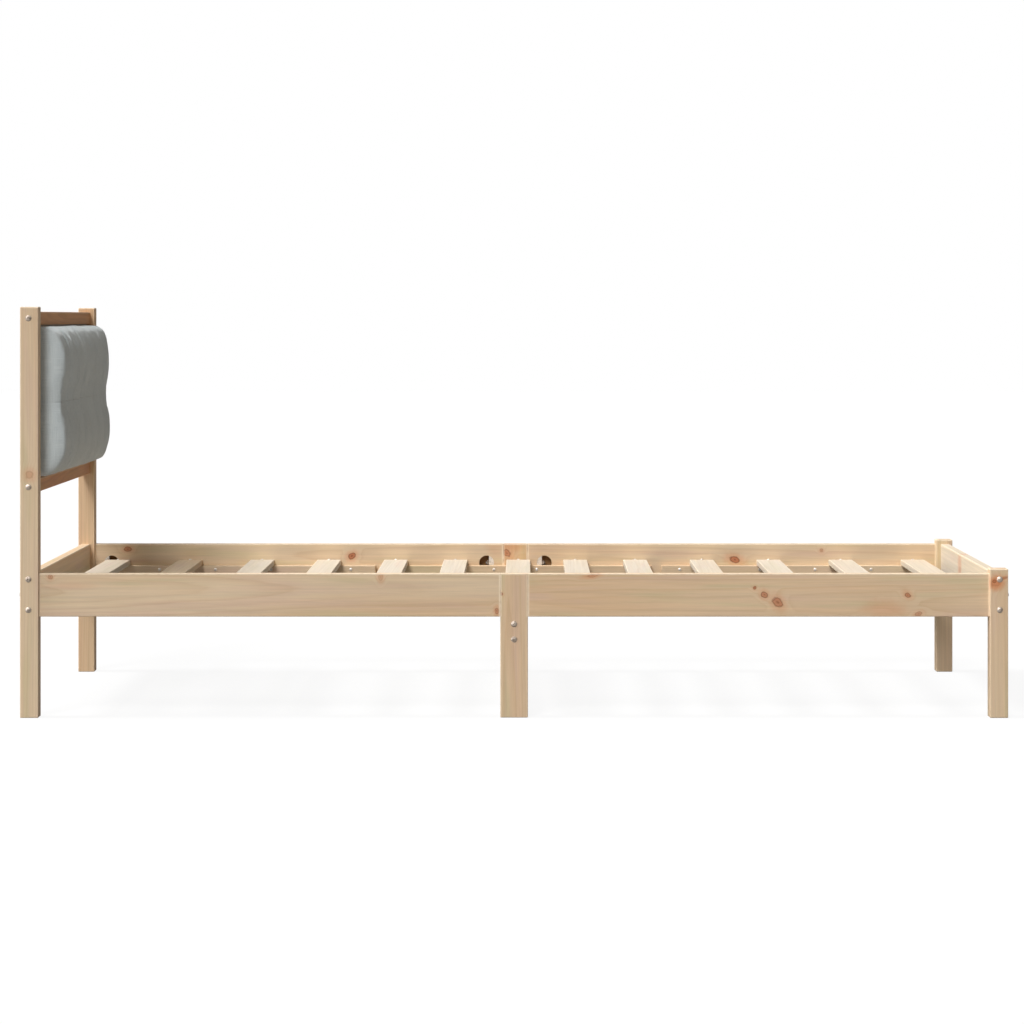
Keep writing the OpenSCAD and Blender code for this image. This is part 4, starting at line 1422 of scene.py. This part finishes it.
cutCrosses("slat_screws", "slatScrews", lambda middle: (0, 0, 1), paleZinc)
cutCrosses("cleat_screws", "cleatScrews", lambda middle: (0, -math.copysign(1, middle[1]), 0), paleZinc)
cutCrosses("plate_screws", "plateScrews", lambda middle: (-1, 0, 0), zincSteel)


# Stage, light and camera

studio = {
    "floor": (0.24, 0.235, 0.23, 1),       # how the bed sees the floor
    "floorSeen": (0.92, 0.92, 0.92, 1),    # how the camera sees it, with its shadow
    "floorGlow": 0.90,
    "floorMirrored": 0.35,
    "floorSize": 60,
    "floorDrop": 0.0004,                   # just below the feet
    "fill": 0.20,
    "fillColour": (1.0, 0.93, 0.85, 1),
    "brightSide": (-0.45, -0.15, 0.88),    # of the room that metal mirrors
    "roomLight": (0.12, 0.95),             # its darkest and its brightest
    "roomSlope": (-0.35, 0.75),            # between which slopes towards that side
}
suns = {  # the way from the object to the lamp, strength, and how wide it looks in degrees
    "keyLight": ((-0.56, -0.02, 0.828), 2.30, 14),
    "frontLight": ((-0.25, -0.72, 0.65), 1.86, 19),
    "sideLight": ((-0.97, -0.12, 0.16), 1.35, 30),
}
photoCamera = {
    "focal": 118.70,
    "sensor": 36,
    "shift": (-0.01299, -0.18994),
    "place": (0.0233, -7.4975, 0.8327),
}
white = (1, 1, 1, 1)


def blendShaders(tree, factor, first, second):
    node = tree.nodes.new("ShaderNodeMixShader")
    feed(tree, factor, node.inputs[0])
    tree.links.new(first, node.inputs[1])
    tree.links.new(second, node.inputs[2])
    return node.outputs[0]


def raySeen(tree, path):
    return calc(tree, "MAXIMUM", path["Is Camera Ray"], path["Is Transmission Ray"])


def makeStage():
    deselect()
    bpy.ops.mesh.primitive_plane_add(size=studio["floorSize"], location=(0, 0, -studio["floorDrop"]))
    floor = bpy.context.active_object
    floor.name = "floor"
    settle(floor)
    material, tree, shader = newMaterial("paleFloor")
    tree.nodes.remove(shader)
    output = next(node for node in tree.nodes if node.type == "OUTPUT_MATERIAL")
    matt = tree.nodes.new("ShaderNodeBsdfDiffuse")
    glow = tree.nodes.new("ShaderNodeEmission")
    glow.inputs["Color"].default_value = white
    path = tree.nodes.new("ShaderNodeLightPath").outputs
    seen = raySeen(tree, path)
    feed(tree, mixColour(tree, seen, studio["floor"], studio["floorSeen"]), matt.inputs["Color"])
    mirrored = times(tree, path["Is Glossy Ray"], studio["floorMirrored"])
    share = calc(tree, "ADD", times(tree, seen, studio["floorGlow"]), mirrored, clamp=True)
    tree.links.new(blendShaders(tree, share, matt.outputs[0], glow.outputs[0]), output.inputs["Surface"])
    floor.data.materials.append(material)


def makeWorld():
    # Even light, white for the camera, and for reflections a room that is bright above and to one side
    world = bpy.data.worlds.new("studio")
    scene.world = world
    world.use_nodes = True
    tree = world.node_tree
    tree.nodes.clear()
    output = tree.nodes.new("ShaderNodeOutputWorld")
    path = tree.nodes.new("ShaderNodeLightPath").outputs
    slope = tree.nodes.new("ShaderNodeVectorMath")
    slope.operation = "DOT_PRODUCT"
    tree.links.new(tree.nodes.new("ShaderNodeTexCoord").outputs["Generated"], slope.inputs[0])
    slope.inputs[1].default_value = studio["brightSide"]
    room = span(tree, slope.outputs["Value"], *studio["roomSlope"], *studio["roomLight"])

    def glow(level, tint):
        node = tree.nodes.new("ShaderNodeBackground")
        node.inputs["Color"].default_value = tint
        feed(tree, level, node.inputs["Strength"])
        return node.outputs[0]

    fill = glow(studio["fill"], studio["fillColour"])
    lit = blendShaders(tree, path["Is Glossy Ray"], fill, glow(room, white))
    sky = blendShaders(tree, raySeen(tree, path), lit, glow(1.0, white))
    tree.links.new(sky, output.inputs["Surface"])


def makeSun(name, toward, strength, angle):
    lamp = bpy.data.lights.new(name, "SUN")
    lamp.energy = strength
    lamp.angle = math.radians(angle)
    holder = bpy.data.objects.new(name, lamp)
    holder.location = Vector(toward) * 3
    holder.rotation_mode = "QUATERNION"
    holder.rotation_quaternion = Vector(toward).to_track_quat("Z", "Y")
    scene.collection.objects.link(holder)


def makeCamera():
    lens = bpy.data.cameras.new("camera")
    lens.lens = photoCamera["focal"]
    lens.sensor_width = photoCamera["sensor"]
    lens.shift_x, lens.shift_y = photoCamera["shift"]
    camera = bpy.data.objects.new("camera", lens)
    camera.location = photoCamera["place"]
    camera.rotation_euler = (math.pi / 2, 0, 0)
    scene.collection.objects.link(camera)
    scene.camera = camera


makeStage()
makeWorld()
for name, sun in suns.items():
    makeSun(name, *sun)
makeCamera()
print("stage: floor, world,", len(suns), "lamps and the camera")
